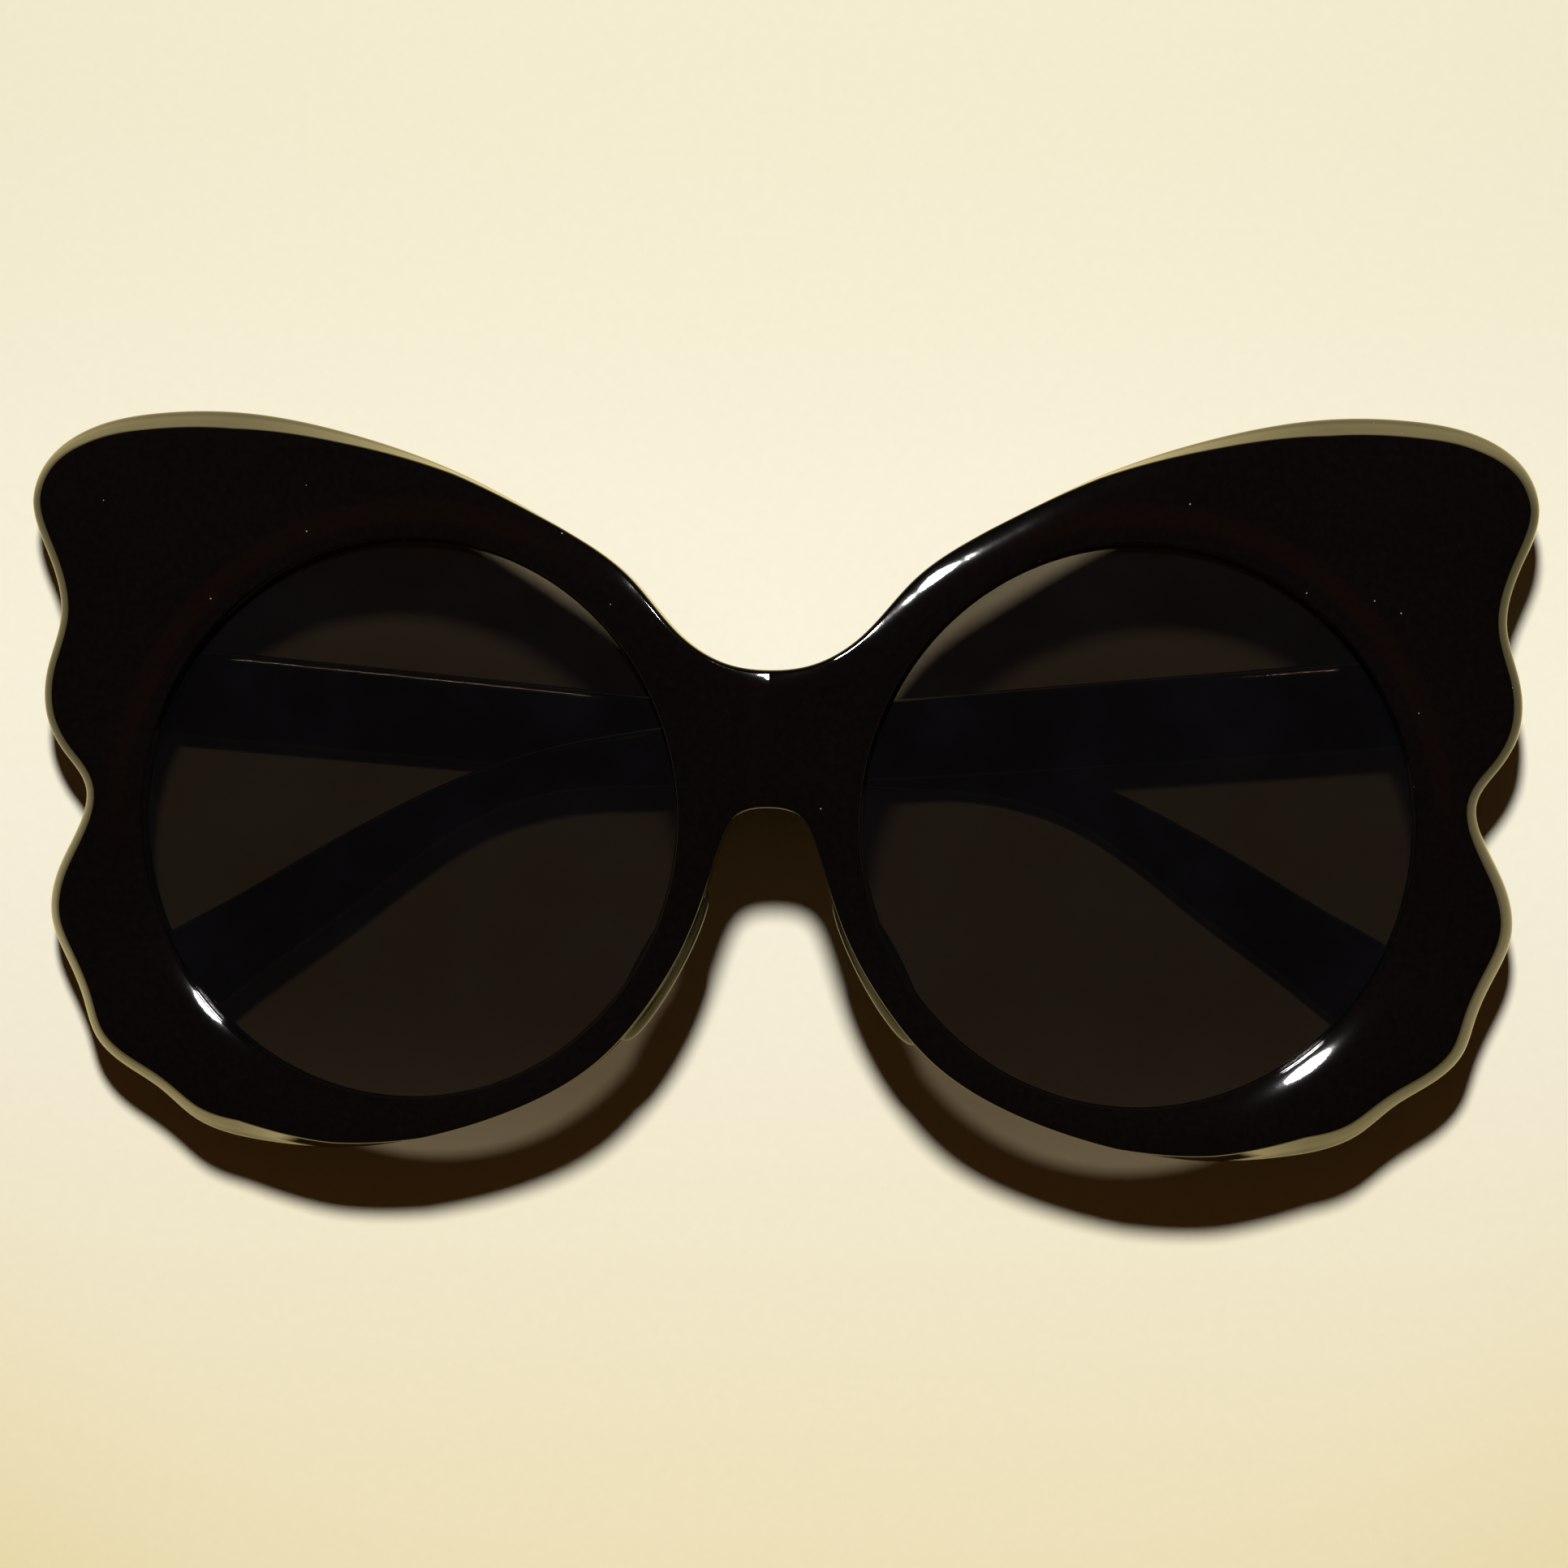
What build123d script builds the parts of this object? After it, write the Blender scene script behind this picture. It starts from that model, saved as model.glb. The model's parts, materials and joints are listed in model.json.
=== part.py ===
from build123d import *
import math
import os

# Butterfly sunglasses, folded, lying front side up on their temples.
# The front is drawn with its face towards +Z, its brow towards +Y and the
# crest of its back surface at z = 0. The temples are drawn open and then folded.

# Moulded front
half_width = 75.0
half_height = 36.45
front_thickness = 4.6
edge_bevel = 2.1

# The front bends over the bridge and falls evenly along both wings
wing_slope_deg = 8.5
bridge_bend_half_width = 9.0

# Half of the front's outline as shares of half_width and half_height, from the
# middle of the bridge round the wing to the top of the nose arch. The third
# number is the share of the edge bevel that the outline has there.
outline_shares = [
    (0.000, 0.302, 0),
    (0.012, 0.3025, 0),
    (0.056, 0.318, 0),
    (0.115, 0.390, 0),
    (0.185, 0.549, 0),
    (0.280, 0.683, 0),
    (0.419, 0.834, 0.2),
    (0.567, 0.941, 0.65),
    (0.713, 0.999, 1),
    (0.833, 0.999, 1),
    (0.928, 0.955, 1),
    (0.985, 0.861, 1),
    (1.000, 0.757, 1),
    (0.977, 0.604, 1),
    (0.959, 0.444, 1),
    (0.977, 0.296, 1),
    (0.977, 0.165, 1),
    (0.951, 0.060, 1),
    (0.922, -0.033, 1),
    (0.932, -0.132, 1),
    (0.961, -0.258, 1),
    (0.969, -0.384, 1),
    (0.945, -0.508, 1),
    (0.923, -0.612, 1),
    (0.907, -0.705, 1),
    (0.869, -0.785, 1),
    (0.816, -0.853, 1),
    (0.768, -0.930, 1),
    (0.680, -0.985, 0.8),
    (0.576, -1.000, 0.3),
    (0.453, -0.963, 0),
    (0.327, -0.878, 0),
    (0.220, -0.746, 0),
    (0.151, -0.582, 0),
    (0.105, -0.417, 0),
    (0.079, -0.272, 0),
    (0.060, -0.151, 0),
    (0.040, -0.084, 0),
    (0.012, -0.065, 0),
    (0.000, -0.064, 0),
]

# Material left round the lens openings
bridge_width = 18.2
wing_side_width = 12.4
brow_width = 12.9
lower_rim_width = 5.3

# Lens openings and lenses
lip_flare = 0.8
lens_depth = 2.4
lens_thickness = 1.6
groove_depth = 0.75
lens_clearance = 0.04
opening_stations = 24

# Nose pads
pad_length = 17.0
pad_width = 4.6
pad_thickness = 2.8
pad_edge = 0.8
pad_inset = 1.6
pad_below_center = 13.8
pad_lean_deg = 62.0
pad_splay_deg = 40.0

# Hinges
pin_inset = 7.0
hinge_y = 9.3
knuckle_radius = 1.25
knuckle_pitch = 2.4
knuckle_gap = 0.08
knuckle_count = 3
screw_radius = 0.6
screw_clearance = 0.04
screw_head_radius = 1.05
screw_head_height = 0.6
screw_slot_width = 0.3
leaf_thickness = 0.8
leaf_sink = 0.3
leaf_fit = 0.03
front_leaf_length = 5.3
temple_leaf_length = 5.3
pin_to_face = 1.55
rivet_radius = 0.6
rivet_length = 1.7
rivet_head_radius = 1.0
rivet_head_height = 0.35
rivet_reach = 3.4
rivet_offset = 2.3

# End pieces on the back of the front, which carry the front leaves
end_piece_wall = 0.4
end_piece_half_height = 5.5
end_piece_lip = 0.35
end_piece_inset = 0.35
end_piece_corner_radius = 1.4

# Temples
temple_reach = 131.0
temple_thickness = 2.8
temple_tip_thickness = 2.3
temple_chamfer = 0.5
temple_slope_deg = 4.8
bend_start = 84.0
bend_radius = 45.0
ear_slope_deg = 33.5
butt_gap = 0.08
temple_splay_deg = 1.5
fold_tilt_deg = 1.35

# Width of the temple along its middle line: the reach as a share of
# temple_reach, then the width as a share of temple_width.
temple_width = 9.1
temple_width_shares = [
    (0.000, 1.00),
    (0.250, 0.955),
    (0.420, 0.890),
    (0.540, 0.780),
    (0.620, 0.650),
    (0.690, 0.535),
    (0.745, 0.510),
    (0.800, 0.610),
    (0.860, 0.780),
    (0.930, 0.910),
    (0.985, 0.970),
]
temple_tip_turns_deg = [54, 18, -18, -54]

# One overrun for every cut
overrun = 1.0

# Lens openings and hinge pins keep their distances from the front's edges
bridge_half_width = bridge_width / 2
opening_half_width = (half_width - wing_side_width - bridge_half_width) / 2
opening_half_height = (2 * half_height - brow_width - lower_rim_width) / 2
opening_center_x = bridge_half_width + opening_half_width
opening_center_y = half_height - brow_width - opening_half_height
pin_x = half_width - pin_inset
temple_inner_x = pin_x + pin_to_face
pad_x = bridge_half_width + pad_inset
pad_y = opening_center_y - pad_below_center
end_piece_inner_x = pin_x - front_leaf_length - end_piece_wall


def wing_fall(x):
    # How far the front has fallen at this distance from the middle of the bridge
    slope = math.radians(wing_slope_deg)
    radius = bridge_bend_half_width / math.sin(slope)
    reach = min(abs(x), bridge_bend_half_width)
    over_bridge = radius - math.sqrt(radius**2 - reach**2)
    return over_bridge + (abs(x) - reach) * math.tan(slope)


def back_height(x):
    return -wing_fall(x)


def wrap_height(x, depth):
    # Height of the surface that lies this deep under the face
    return front_thickness - depth - wing_fall(x)


def wrap_line(depth):
    # Section of one surface over the bridge and along both wings
    reach = half_width + overrun
    bend = bridge_bend_half_width
    low = wrap_height(reach, depth)
    high = wrap_height(bend, depth)
    over = ThreePointArc((-bend, high), (0, wrap_height(0, depth)), (bend, high))
    return [Line((-reach, low), (-bend, high)), over, Line((bend, high), (reach, low))]


def wrap_slab(low_depth, high_depth):
    # Bent sheet between two depths under the face
    top = wrap_line(high_depth)
    low = wrap_line(low_depth)
    left = Line(top[0] @ 0, low[0] @ 0)
    right = Line(top[-1] @ 1, low[-1] @ 1)
    section = Plane.XZ * make_face(top + low + [left, right])
    return extrude(section, half_height + overrun, both=True)


def outline_points():
    points = []
    for across, up, bevel in outline_shares:
        points.append((across * half_width, up * half_height, bevel * edge_bevel))
    return points


def inward(points, index):
    # Unit direction from the outline towards the inside of the wing
    before = points[max(index - 1, 0)]
    after = points[min(index + 1, len(points) - 1)]
    dx = after[0] - before[0]
    dy = after[1] - before[1]
    size = math.hypot(dx, dy)
    return dy / size, -dx / size


def on_sloping_plane(low, high, slope, level):
    # Where the straight line through two points meets z = level - slope * x
    rise = high[2] - low[2] + slope * (high[0] - low[0])
    share = (level - slope * low[0] - low[2]) / rise
    return tuple(a + share * (b - a) for a, b in zip(low, high))


def half_blank():
    # Right half with its bevelled edge, taller than the front's thickness
    points = outline_points()
    lows = []
    highs = []
    for index, (x, y, bevel) in enumerate(points):
        nx, ny = inward(points, index)
        lows.append((x, y, back_height(x)))
        face_x = x + nx * bevel
        highs.append((face_x, y + ny * bevel, wrap_height(face_x, 0)))
    slope = (wrap_height(0, 0) - wrap_height(half_width, 0)) / half_width
    bulge = slope * bridge_bend_half_width
    levels = [-2 * overrun, wrap_height(0, 0) + bulge + overrun]
    sections = []
    for level in levels:
        rim = []
        for low, high in zip(lows, highs):
            rim.append(on_sloping_plane(low, high, slope, level))
        sections.append(make_face([Spline(*rim), Line(rim[-1], rim[0])]))
    return loft(sections, ruled=True)


def opening_prism(grow):
    # Straight prism along Z round the right opening
    shape = Ellipse(opening_half_width + grow, opening_half_height + grow)
    place = Pos(opening_center_x, opening_center_y, wrap_height(half_width, 0) - half_width)
    return extrude(place * shape, half_width * 2)


def lip_flare_tool():
    # Opening that widens from the lens to the face
    slope = math.tan(math.radians(wing_slope_deg))
    lows = []
    highs = []
    for index in range(opening_stations):
        turn = math.tau * index / opening_stations
        low_x = opening_center_x + opening_half_width * math.cos(turn)
        low_y = opening_center_y + opening_half_height * math.sin(turn)
        high_x = low_x + lip_flare * math.cos(turn)
        high_y = low_y + lip_flare * math.sin(turn)
        lows.append((low_x, low_y, wrap_height(low_x, lens_depth)))
        highs.append((high_x, high_y, wrap_height(high_x, 0)))
    middle = wrap_height(opening_center_x, 0) + slope * opening_center_x
    levels = [middle - lens_depth - lens_thickness, middle + 2 * overrun]
    sections = []
    for level in levels:
        rim = []
        for low, high in zip(lows, highs):
            rim.append(on_sloping_plane(low, high, slope, level))
        sections.append(make_face([Spline(*rim, periodic=True)]))
    return loft(sections, ruled=True)


def end_piece(half):
    # Wedge behind the wing with a flat rear face for the hinge
    face = end_piece_face()
    width = half_width - end_piece_inner_x
    height = wrap_height(end_piece_inner_x, front_thickness / 2) - face
    block = Box(
        width,
        2 * end_piece_half_height,
        height,
        align=(Align.MIN, Align.CENTER, Align.MIN),
    )
    block = Pos(end_piece_inner_x, hinge_y, face) * block
    block = block & wrap_slab(2 * front_thickness, front_thickness / 2)
    block = block & (Pos(-end_piece_inset, 0, 0) * half)
    corners = block.edges().filter_by(Axis.Z).group_by(Axis.X)[0]
    return fillet(corners, end_piece_corner_radius)


def end_piece_face():
    # Just behind the wing where the open temple's outer face meets it
    return back_height(temple_inner_x + temple_thickness) - end_piece_lip


def pin_z():
    return end_piece_face() - pin_to_face


def front_blank(half):
    blank = half + mirror(half, about=Plane.YZ)
    return blank & wrap_slab(front_thickness, 0)


def frame_front(half, blank):
    front = blank
    for side in (1, -1):
        pieces = [
            end_piece(half),
            lens_groove(),
            opening_prism(0),
            lip_flare_tool() & wrap_slab(lens_depth + lens_thickness / 2, -2 * overrun),
            front_leaf_pocket(),
            front_rivet_shafts(rivet_radius + leaf_fit),
        ]
        if side < 0:
            pieces = [mirror(piece, about=Plane.YZ) for piece in pieces]
        front = front + pieces[0]
        for tool in pieces[1:]:
            front = front - tool
    return front


def lens_groove():
    slab = wrap_slab(lens_depth + lens_thickness + lens_clearance, lens_depth - lens_clearance)
    return opening_prism(groove_depth) & slab


def lens():
    slab = wrap_slab(lens_depth + lens_thickness, lens_depth)
    return opening_prism(groove_depth - lens_clearance) & slab


def nose_pad(blank):
    # Oval pad that leans back from the nose side of the rim, cut to seat on it
    sections = []
    for inset, level in (
        (pad_edge, -pad_thickness / 2),
        (0, pad_edge - pad_thickness / 2),
        (0, pad_thickness / 2 - pad_edge),
        (pad_edge, pad_thickness / 2),
    ):
        oval = Ellipse(pad_length / 2 - inset, pad_width / 2 - inset)
        sections.append(Pos(0, 0, level) * oval)
    pad = loft(sections, ruled=True)
    pad = Rot(0, 0, -pad_lean_deg) * Rot(-pad_splay_deg, 0, 0) * pad
    pad = Pos(pad_x, pad_y, back_height(pad_x)) * pad
    pieces = (pad - blank).solids()
    return max(pieces, key=lambda piece: piece.volume)


def knuckles(first):
    # Every second knuckle of the hinge, starting from this one
    stack = Part()
    for index in range(first, knuckle_count, 2):
        y = hinge_y + (index - (knuckle_count - 1) / 2) * knuckle_pitch
        barrel = Cylinder(knuckle_radius, knuckle_pitch - knuckle_gap, rotation=(90, 0, 0))
        stack = stack + Pos(pin_x, y, pin_z()) * barrel
    return stack


def pin_hole():
    length = knuckle_count * knuckle_pitch + 2 * overrun
    hole = Cylinder(screw_radius + screw_clearance, length, rotation=(90, 0, 0))
    return Pos(pin_x, hinge_y, pin_z()) * hole


def leaf_clearance(first):
    # Room for the other leaf's knuckles
    room = Part()
    for index in range(first, knuckle_count, 2):
        y = hinge_y + (index - (knuckle_count - 1) / 2) * knuckle_pitch
        barrel = Cylinder(knuckle_radius + 3 * knuckle_gap, knuckle_pitch, rotation=(90, 0, 0))
        room = room + Pos(pin_x, y, pin_z()) * barrel
    return room


def leaf_width():
    return knuckle_count * knuckle_pitch - knuckle_gap


def front_leaf_plate(grow):
    plate = Box(
        front_leaf_length + grow,
        leaf_width() + 2 * grow,
        leaf_thickness + grow,
        align=(Align.MAX, Align.CENTER, Align.MIN),
    )
    face = end_piece_face() - leaf_thickness + leaf_sink
    return Pos(pin_x, hinge_y, face) * plate


def front_leaf_pocket():
    plate = front_leaf_plate(leaf_fit)
    room = Box(
        knuckle_radius,
        leaf_width() + 2 * leaf_fit,
        leaf_thickness + leaf_fit,
        align=(Align.MIN, Align.CENTER, Align.MIN),
    )
    face = end_piece_face() - leaf_thickness + leaf_sink
    return plate + Pos(pin_x, hinge_y, face) * room


def front_rivet_places():
    x = pin_x - rivet_reach
    return [(x, hinge_y - rivet_offset), (x, hinge_y + rivet_offset)]


def front_rivet_shafts(radius):
    shafts = Part()
    head_face = end_piece_face() - leaf_thickness + leaf_sink
    length = rivet_length + leaf_thickness + radius - rivet_radius
    for x, y in front_rivet_places():
        shaft = Cylinder(radius, length, align=(Align.CENTER, Align.CENTER, Align.MIN))
        shafts = shafts + Pos(x, y, head_face) * shaft
    return shafts


def front_leaf():
    leaf = front_leaf_plate(0) - leaf_clearance(1)
    leaf = leaf + knuckles(0)
    leaf = leaf - pin_hole()
    return leaf - front_rivet_shafts(rivet_radius + leaf_fit / 3)


def rivet_head():
    return Cylinder(
        rivet_head_radius, rivet_head_height, align=(Align.CENTER, Align.CENTER, Align.MAX)
    )


def front_rivets():
    rivets = front_rivet_shafts(rivet_radius)
    head_face = end_piece_face() - leaf_thickness + leaf_sink
    for x, y in front_rivet_places():
        rivets = rivets + Pos(x, y, head_face) * rivet_head()
    return rivets


def hinge_screw():
    length = knuckle_count * knuckle_pitch
    shaft = Cylinder(screw_radius, length, rotation=(90, 0, 0))
    head = Cylinder(screw_head_radius, screw_head_height, rotation=(90, 0, 0))
    slot = Box(2 * screw_head_radius, screw_head_height, screw_slot_width)
    top = (length + screw_head_height) / 2
    screw = shaft + Pos(0, top, 0) * head
    screw = screw - Pos(0, top + screw_head_height / 2, 0) * slot
    return Pos(pin_x, hinge_y, pin_z()) * screw


def temple_line(reach):
    # Height and slope of the temple's middle line at this reach behind the pin
    start_slope = math.radians(temple_slope_deg)
    end_slope = math.radians(ear_slope_deg)
    bend_height = hinge_y - math.tan(start_slope) * bend_start
    if reach <= bend_start:
        return hinge_y - math.tan(start_slope) * reach, start_slope
    center_reach = bend_start - bend_radius * math.sin(start_slope)
    center_height = bend_height - bend_radius * math.cos(start_slope)
    bend_end = center_reach + bend_radius * math.sin(end_slope)
    if reach <= bend_end:
        slope = math.asin((reach - center_reach) / bend_radius)
        return center_height + bend_radius * math.cos(slope), slope
    end_height = center_height + bend_radius * math.cos(end_slope)
    return end_height - math.tan(end_slope) * (reach - bend_end), end_slope


def temple_section(inset, start_depth, thinning):
    # Side view of the temple at one depth, drawn as reach and height
    tops = []
    lows = []
    for reach_share, width_share in temple_width_shares:
        reach = reach_share * temple_reach
        height, slope = temple_line(reach)
        half = width_share * temple_width / 2 - inset
        across = half * math.sin(slope)
        tops.append((reach + across, height + half * math.cos(slope)))
        lows.append((reach - across, height - half * math.cos(slope)))
    tip = []
    for turn_deg in temple_tip_turns_deg:
        turn = math.radians(turn_deg) - slope
        tip.append((reach + half * math.cos(turn), height + half * math.sin(turn)))
    front_end = -2 * pin_to_face
    fall = math.tan(math.radians(temple_slope_deg))
    tops[0] = (front_end, tops[0][1] - fall * (front_end - tops[0][0]))
    lows[0] = (front_end, lows[0][1] - fall * (front_end - lows[0][0]))
    rim = []
    for x, y in tops + tip + lows[::-1]:
        rim.append((x, y, start_depth - thinning * x))
    return make_face([Spline(*rim), Line(rim[-1], rim[0])])


def temple_blank():
    # Drawn along +X with its inner face at z = 0 and its outer face above
    sections = [
        temple_section(temple_chamfer, 0, 0),
        temple_section(0, temple_chamfer, 0),
        temple_section(0, temple_thickness - temple_chamfer, temple_thinning()),
        temple_section(temple_chamfer, temple_thickness, temple_thinning()),
    ]
    return loft(sections, ruled=True)


def temple_thinning():
    # Thickness lost for each unit of reach
    return (temple_thickness - temple_tip_thickness) / temple_reach


def open_place():
    # Turns reach, height and thickness into the open temple of the right side
    return Plane(
        origin=(temple_inner_x, 0, pin_z()),
        x_dir=(0, 0, -1),
        z_dir=(1, 0, 0),
    )


def temple():
    blank = open_place() * temple_blank()
    leaf_room = temple_leaf_plate(leaf_fit)
    body = blank - leaf_room - temple_rivet_shafts(rivet_radius + leaf_fit)
    body = about_pin(body, -temple_splay_deg)
    butt = end_piece_face() - butt_gap
    waste = Box(
        4 * half_width,
        4 * half_height,
        half_width,
        align=(Align.CENTER, Align.CENTER, Align.MIN),
    )
    return body - Pos(0, 0, butt) * waste


def temple_leaf_plate(grow):
    plate = Box(
        leaf_thickness + grow,
        leaf_width() + 2 * grow,
        temple_leaf_length + grow,
        align=(Align.MAX, Align.CENTER, Align.MAX),
    )
    return Pos(temple_inner_x + leaf_sink + grow, hinge_y, pin_z()) * plate


def temple_rivet_places():
    z = pin_z() - rivet_reach
    return [(hinge_y - rivet_offset, z), (hinge_y + rivet_offset, z)]


def temple_rivet_shafts(radius):
    shafts = Part()
    head_face = temple_inner_x + leaf_sink - leaf_thickness
    length = rivet_length + leaf_thickness + radius - rivet_radius
    for y, z in temple_rivet_places():
        shaft = Cylinder(
            radius,
            length,
            rotation=(0, 90, 0),
            align=(Align.CENTER, Align.CENTER, Align.MIN),
        )
        shafts = shafts + Pos(head_face, y, z) * shaft
    return shafts


def temple_leaf():
    leaf = temple_leaf_plate(0) - leaf_clearance(0)
    leaf = leaf + knuckles(1)
    leaf = leaf - pin_hole()
    leaf = leaf - temple_rivet_shafts(rivet_radius + leaf_fit / 3)
    return about_pin(leaf, -temple_splay_deg)


def temple_rivets():
    rivets = temple_rivet_shafts(rivet_radius)
    head_face = temple_inner_x + leaf_sink - leaf_thickness
    for y, z in temple_rivet_places():
        rivets = rivets + Pos(head_face, y, z) * Rot(0, 90, 0) * rivet_head()
    return about_pin(rivets, -temple_splay_deg)


def about_pin(piece, degrees):
    # Turns a piece of the right side about its hinge pin
    place = Pos(pin_x, 0, pin_z())
    back = Pos(-pin_x, 0, -pin_z())
    return place * Rot(0, degrees, 0) * back * piece


def rest_turn():
    # Turn that lays the lower temple's outer face level
    return math.degrees(math.atan(temple_thinning())) - fold_tilt_deg


def build():
    half = half_blank()
    blank = front_blank(half)
    front = frame_front(half, blank)
    right = {
        "lens": lens(),
        "nose_pad": nose_pad(blank),
        "front_hinge_leaf": front_leaf(),
        "front_rivets": front_rivets(),
        "hinge_screw": hinge_screw(),
    }
    moving = {
        "temple": temple(),
        "temple_hinge_leaf": temple_leaf(),
        "temple_rivets": temple_rivets(),
    }
    square_fold = 90 + temple_splay_deg
    nodes = {"frame_front": front}
    for name, piece in right.items():
        nodes[name + "_right"] = piece
        nodes[name + "_left"] = mirror(piece, about=Plane.YZ)
    for name, piece in moving.items():
        upper = about_pin(piece, square_fold + fold_tilt_deg)
        lower = about_pin(piece, square_fold - fold_tilt_deg)
        nodes[name + "_right"] = upper
        nodes[name + "_left"] = mirror(lower, about=Plane.YZ)
    turned = {name: Rot(0, rest_turn(), 0) * piece for name, piece in nodes.items()}
    front_box = turned["frame_front"].bounding_box()
    low_box = turned["temple_left"].bounding_box()
    middle_x = (front_box.min.X + front_box.max.X) / 2
    middle_y = (front_box.min.Y + front_box.max.Y) / 2
    stand = Pos(-middle_x, -middle_y, -low_box.min.Z)
    print("moved by", -middle_x, -middle_y, -low_box.min.Z, "turned by", rest_turn())
    print("pin before the move", pin_x, pin_z())
    return {name: stand * piece for name, piece in turned.items()}


def main():
    os.makedirs("parts", exist_ok=True)
    for name, piece in build().items():
        export_step(piece, os.path.join("parts", name + ".step"))


main()
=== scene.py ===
import json
import math

import bmesh
import bpy
import numpy as np
from mathutils import Matrix, Vector


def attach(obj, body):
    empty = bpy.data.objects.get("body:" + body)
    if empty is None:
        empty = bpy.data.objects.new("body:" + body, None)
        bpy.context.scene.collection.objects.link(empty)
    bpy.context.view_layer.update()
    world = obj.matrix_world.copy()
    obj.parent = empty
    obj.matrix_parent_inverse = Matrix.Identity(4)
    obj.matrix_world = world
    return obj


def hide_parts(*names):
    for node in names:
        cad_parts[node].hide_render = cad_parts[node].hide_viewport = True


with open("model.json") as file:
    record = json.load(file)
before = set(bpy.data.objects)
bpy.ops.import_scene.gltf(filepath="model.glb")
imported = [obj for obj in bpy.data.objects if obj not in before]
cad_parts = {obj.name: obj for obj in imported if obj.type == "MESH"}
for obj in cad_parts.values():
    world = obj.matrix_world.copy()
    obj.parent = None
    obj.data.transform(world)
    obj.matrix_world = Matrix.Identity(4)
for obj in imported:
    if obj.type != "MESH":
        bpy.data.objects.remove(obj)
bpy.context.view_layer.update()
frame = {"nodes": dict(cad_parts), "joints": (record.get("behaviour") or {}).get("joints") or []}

bl_info = {
    "name": "Butterfly sunglasses",
    "version": (1, 0, 0),
    "blender": (4, 5, 0),
    "location": "3D View > Sidebar > Sunglasses",
    "description": "Moulded butterfly sunglasses, folded, lying front side up on their temples",
    "category": "Object",
}

MM = 0.001
SIDES = {"left": -1, "right": 1}

# Half of the front's outline as shares of its half width and half height, from
# the middle of the bridge round the wing to the top of the nose arch. The third
# number is the wall there: 0 upright, 1 sloping and 2 rounded.
WING_OUTLINE = [
    (0.000, 0.302, 0), (0.012, 0.3025, 0), (0.056, 0.318, 0), (0.115, 0.390, 0),
    (0.185, 0.549, 0), (0.280, 0.683, 0), (0.419, 0.834, 0.2), (0.567, 0.941, 0.65),
    (0.713, 0.999, 1), (0.833, 0.999, 1), (0.928, 0.955, 1.2), (0.985, 0.861, 1.7),
    (1.000, 0.757, 2), (0.977, 0.604, 2), (0.959, 0.444, 2), (0.977, 0.296, 2),
    (0.977, 0.165, 2), (0.951, 0.060, 2), (0.922, -0.033, 1.9), (0.932, -0.132, 1.8),
    (0.961, -0.258, 1.7), (0.969, -0.384, 1.6), (0.945, -0.508, 1.6), (0.923, -0.612, 1.6),
    (0.907, -0.705, 1.6), (0.869, -0.785, 1.6), (0.816, -0.853, 1.5), (0.768, -0.930, 1.3),
    (0.680, -0.985, 0.9), (0.576, -1.000, 0.4), (0.453, -0.963, 0), (0.327, -0.878, 0),
    (0.220, -0.746, 0), (0.151, -0.582, 0), (0.105, -0.417, 0), (0.079, -0.272, 0),
    (0.060, -0.151, 0), (0.040, -0.084, 0), (0.012, -0.065, 0), (0.000, -0.064, 0),
]

# Walls in millimetres: how far in from the outline, and how high above the back
SLOPING_WALL = [
    (2.34, 4.60), (2.12, 4.58), (1.98, 4.52), (1.88, 4.40), (1.78, 4.20),
    (1.37, 3.30), (0.92, 2.30), (0.42, 1.20), (0.03, 0.32), (0.03, 0.08), (0.22, 0.00),
]
ROUNDED_WALL = [
    (2.15, 4.60), (1.75, 4.57), (1.48, 4.47), (1.24, 4.30), (0.98, 4.04),
    (0.72, 3.72), (0.48, 3.32), (0.32, 2.86), (0.25, 2.15), (0.24, 0.28), (0.42, 0.00),
]
UPRIGHT_WALL = [
    (0.42, 4.60), (0.22, 4.57), (0.11, 4.50), (0.03, 4.37), (0.00, 4.15),
    (0.00, 3.30), (0.00, 2.30), (0.00, 1.20), (0.00, 0.32), (0.09, 0.09), (0.32, 0.00),
]

# The lip of the lens opening in millimetres: how far out from the lens's edge,
# and how deep under the face. The groove holds the lens.
LIP = [
    (0.50, 0.00), (0.40, 0.03), (0.32, 0.10), (0.25, 0.24), (0.20, 0.46),
    (0.15, 0.80), (0.09, 1.50), (0.03, 2.26),
]
GROOVE = [
    (0.00, 2.35), (0.05, 2.36), (0.70, 2.36), (0.75, 2.40), (0.75, 4.00),
    (0.70, 4.04), (0.05, 4.04), (0.00, 4.06), (0.00, 4.34), (0.08, 4.52), (0.26, 4.60),
]

# How many points an outline, a seam or a lens is drawn with
OUTLINE_POINTS = 381
MIDDLE_POINTS = 42
TEMPLE_POINTS = 420
PAD_POINTS = 160
LENS_POINTS = 180
FINE_POINTS = 6000

# Rows of the face, and parts that each step of a wall or lip is divided into
FACE_ROWS = 27
STEP_PARTS = 3

# Width of the temple along its middle line: reach and width as shares
TEMPLE_WIDTHS = [
    (0.000, 1.00), (0.250, 0.955), (0.420, 0.890), (0.540, 0.780), (0.620, 0.650),
    (0.690, 0.535), (0.745, 0.510), (0.800, 0.610), (0.860, 0.780), (0.930, 0.910),
    (0.985, 0.970),
]

# Directions of the points round the temple's tip and its front corners, in degrees
TIP_TURNS = [54, 18, -18, -54]
CORNER_TURNS = [15, 45, 75]

# The temple's front end in millimetres: where it starts at the inner face, from
# the pin, how much later it starts for each millimetre outwards, the radius of
# its corners, and how far its edges are rolled
TEMPLE_START = -1.43
TEMPLE_START_LEAN = 0.0262
TEMPLE_CORNER = 0.5
TEMPLE_END_ROLL = 0.25

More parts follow.
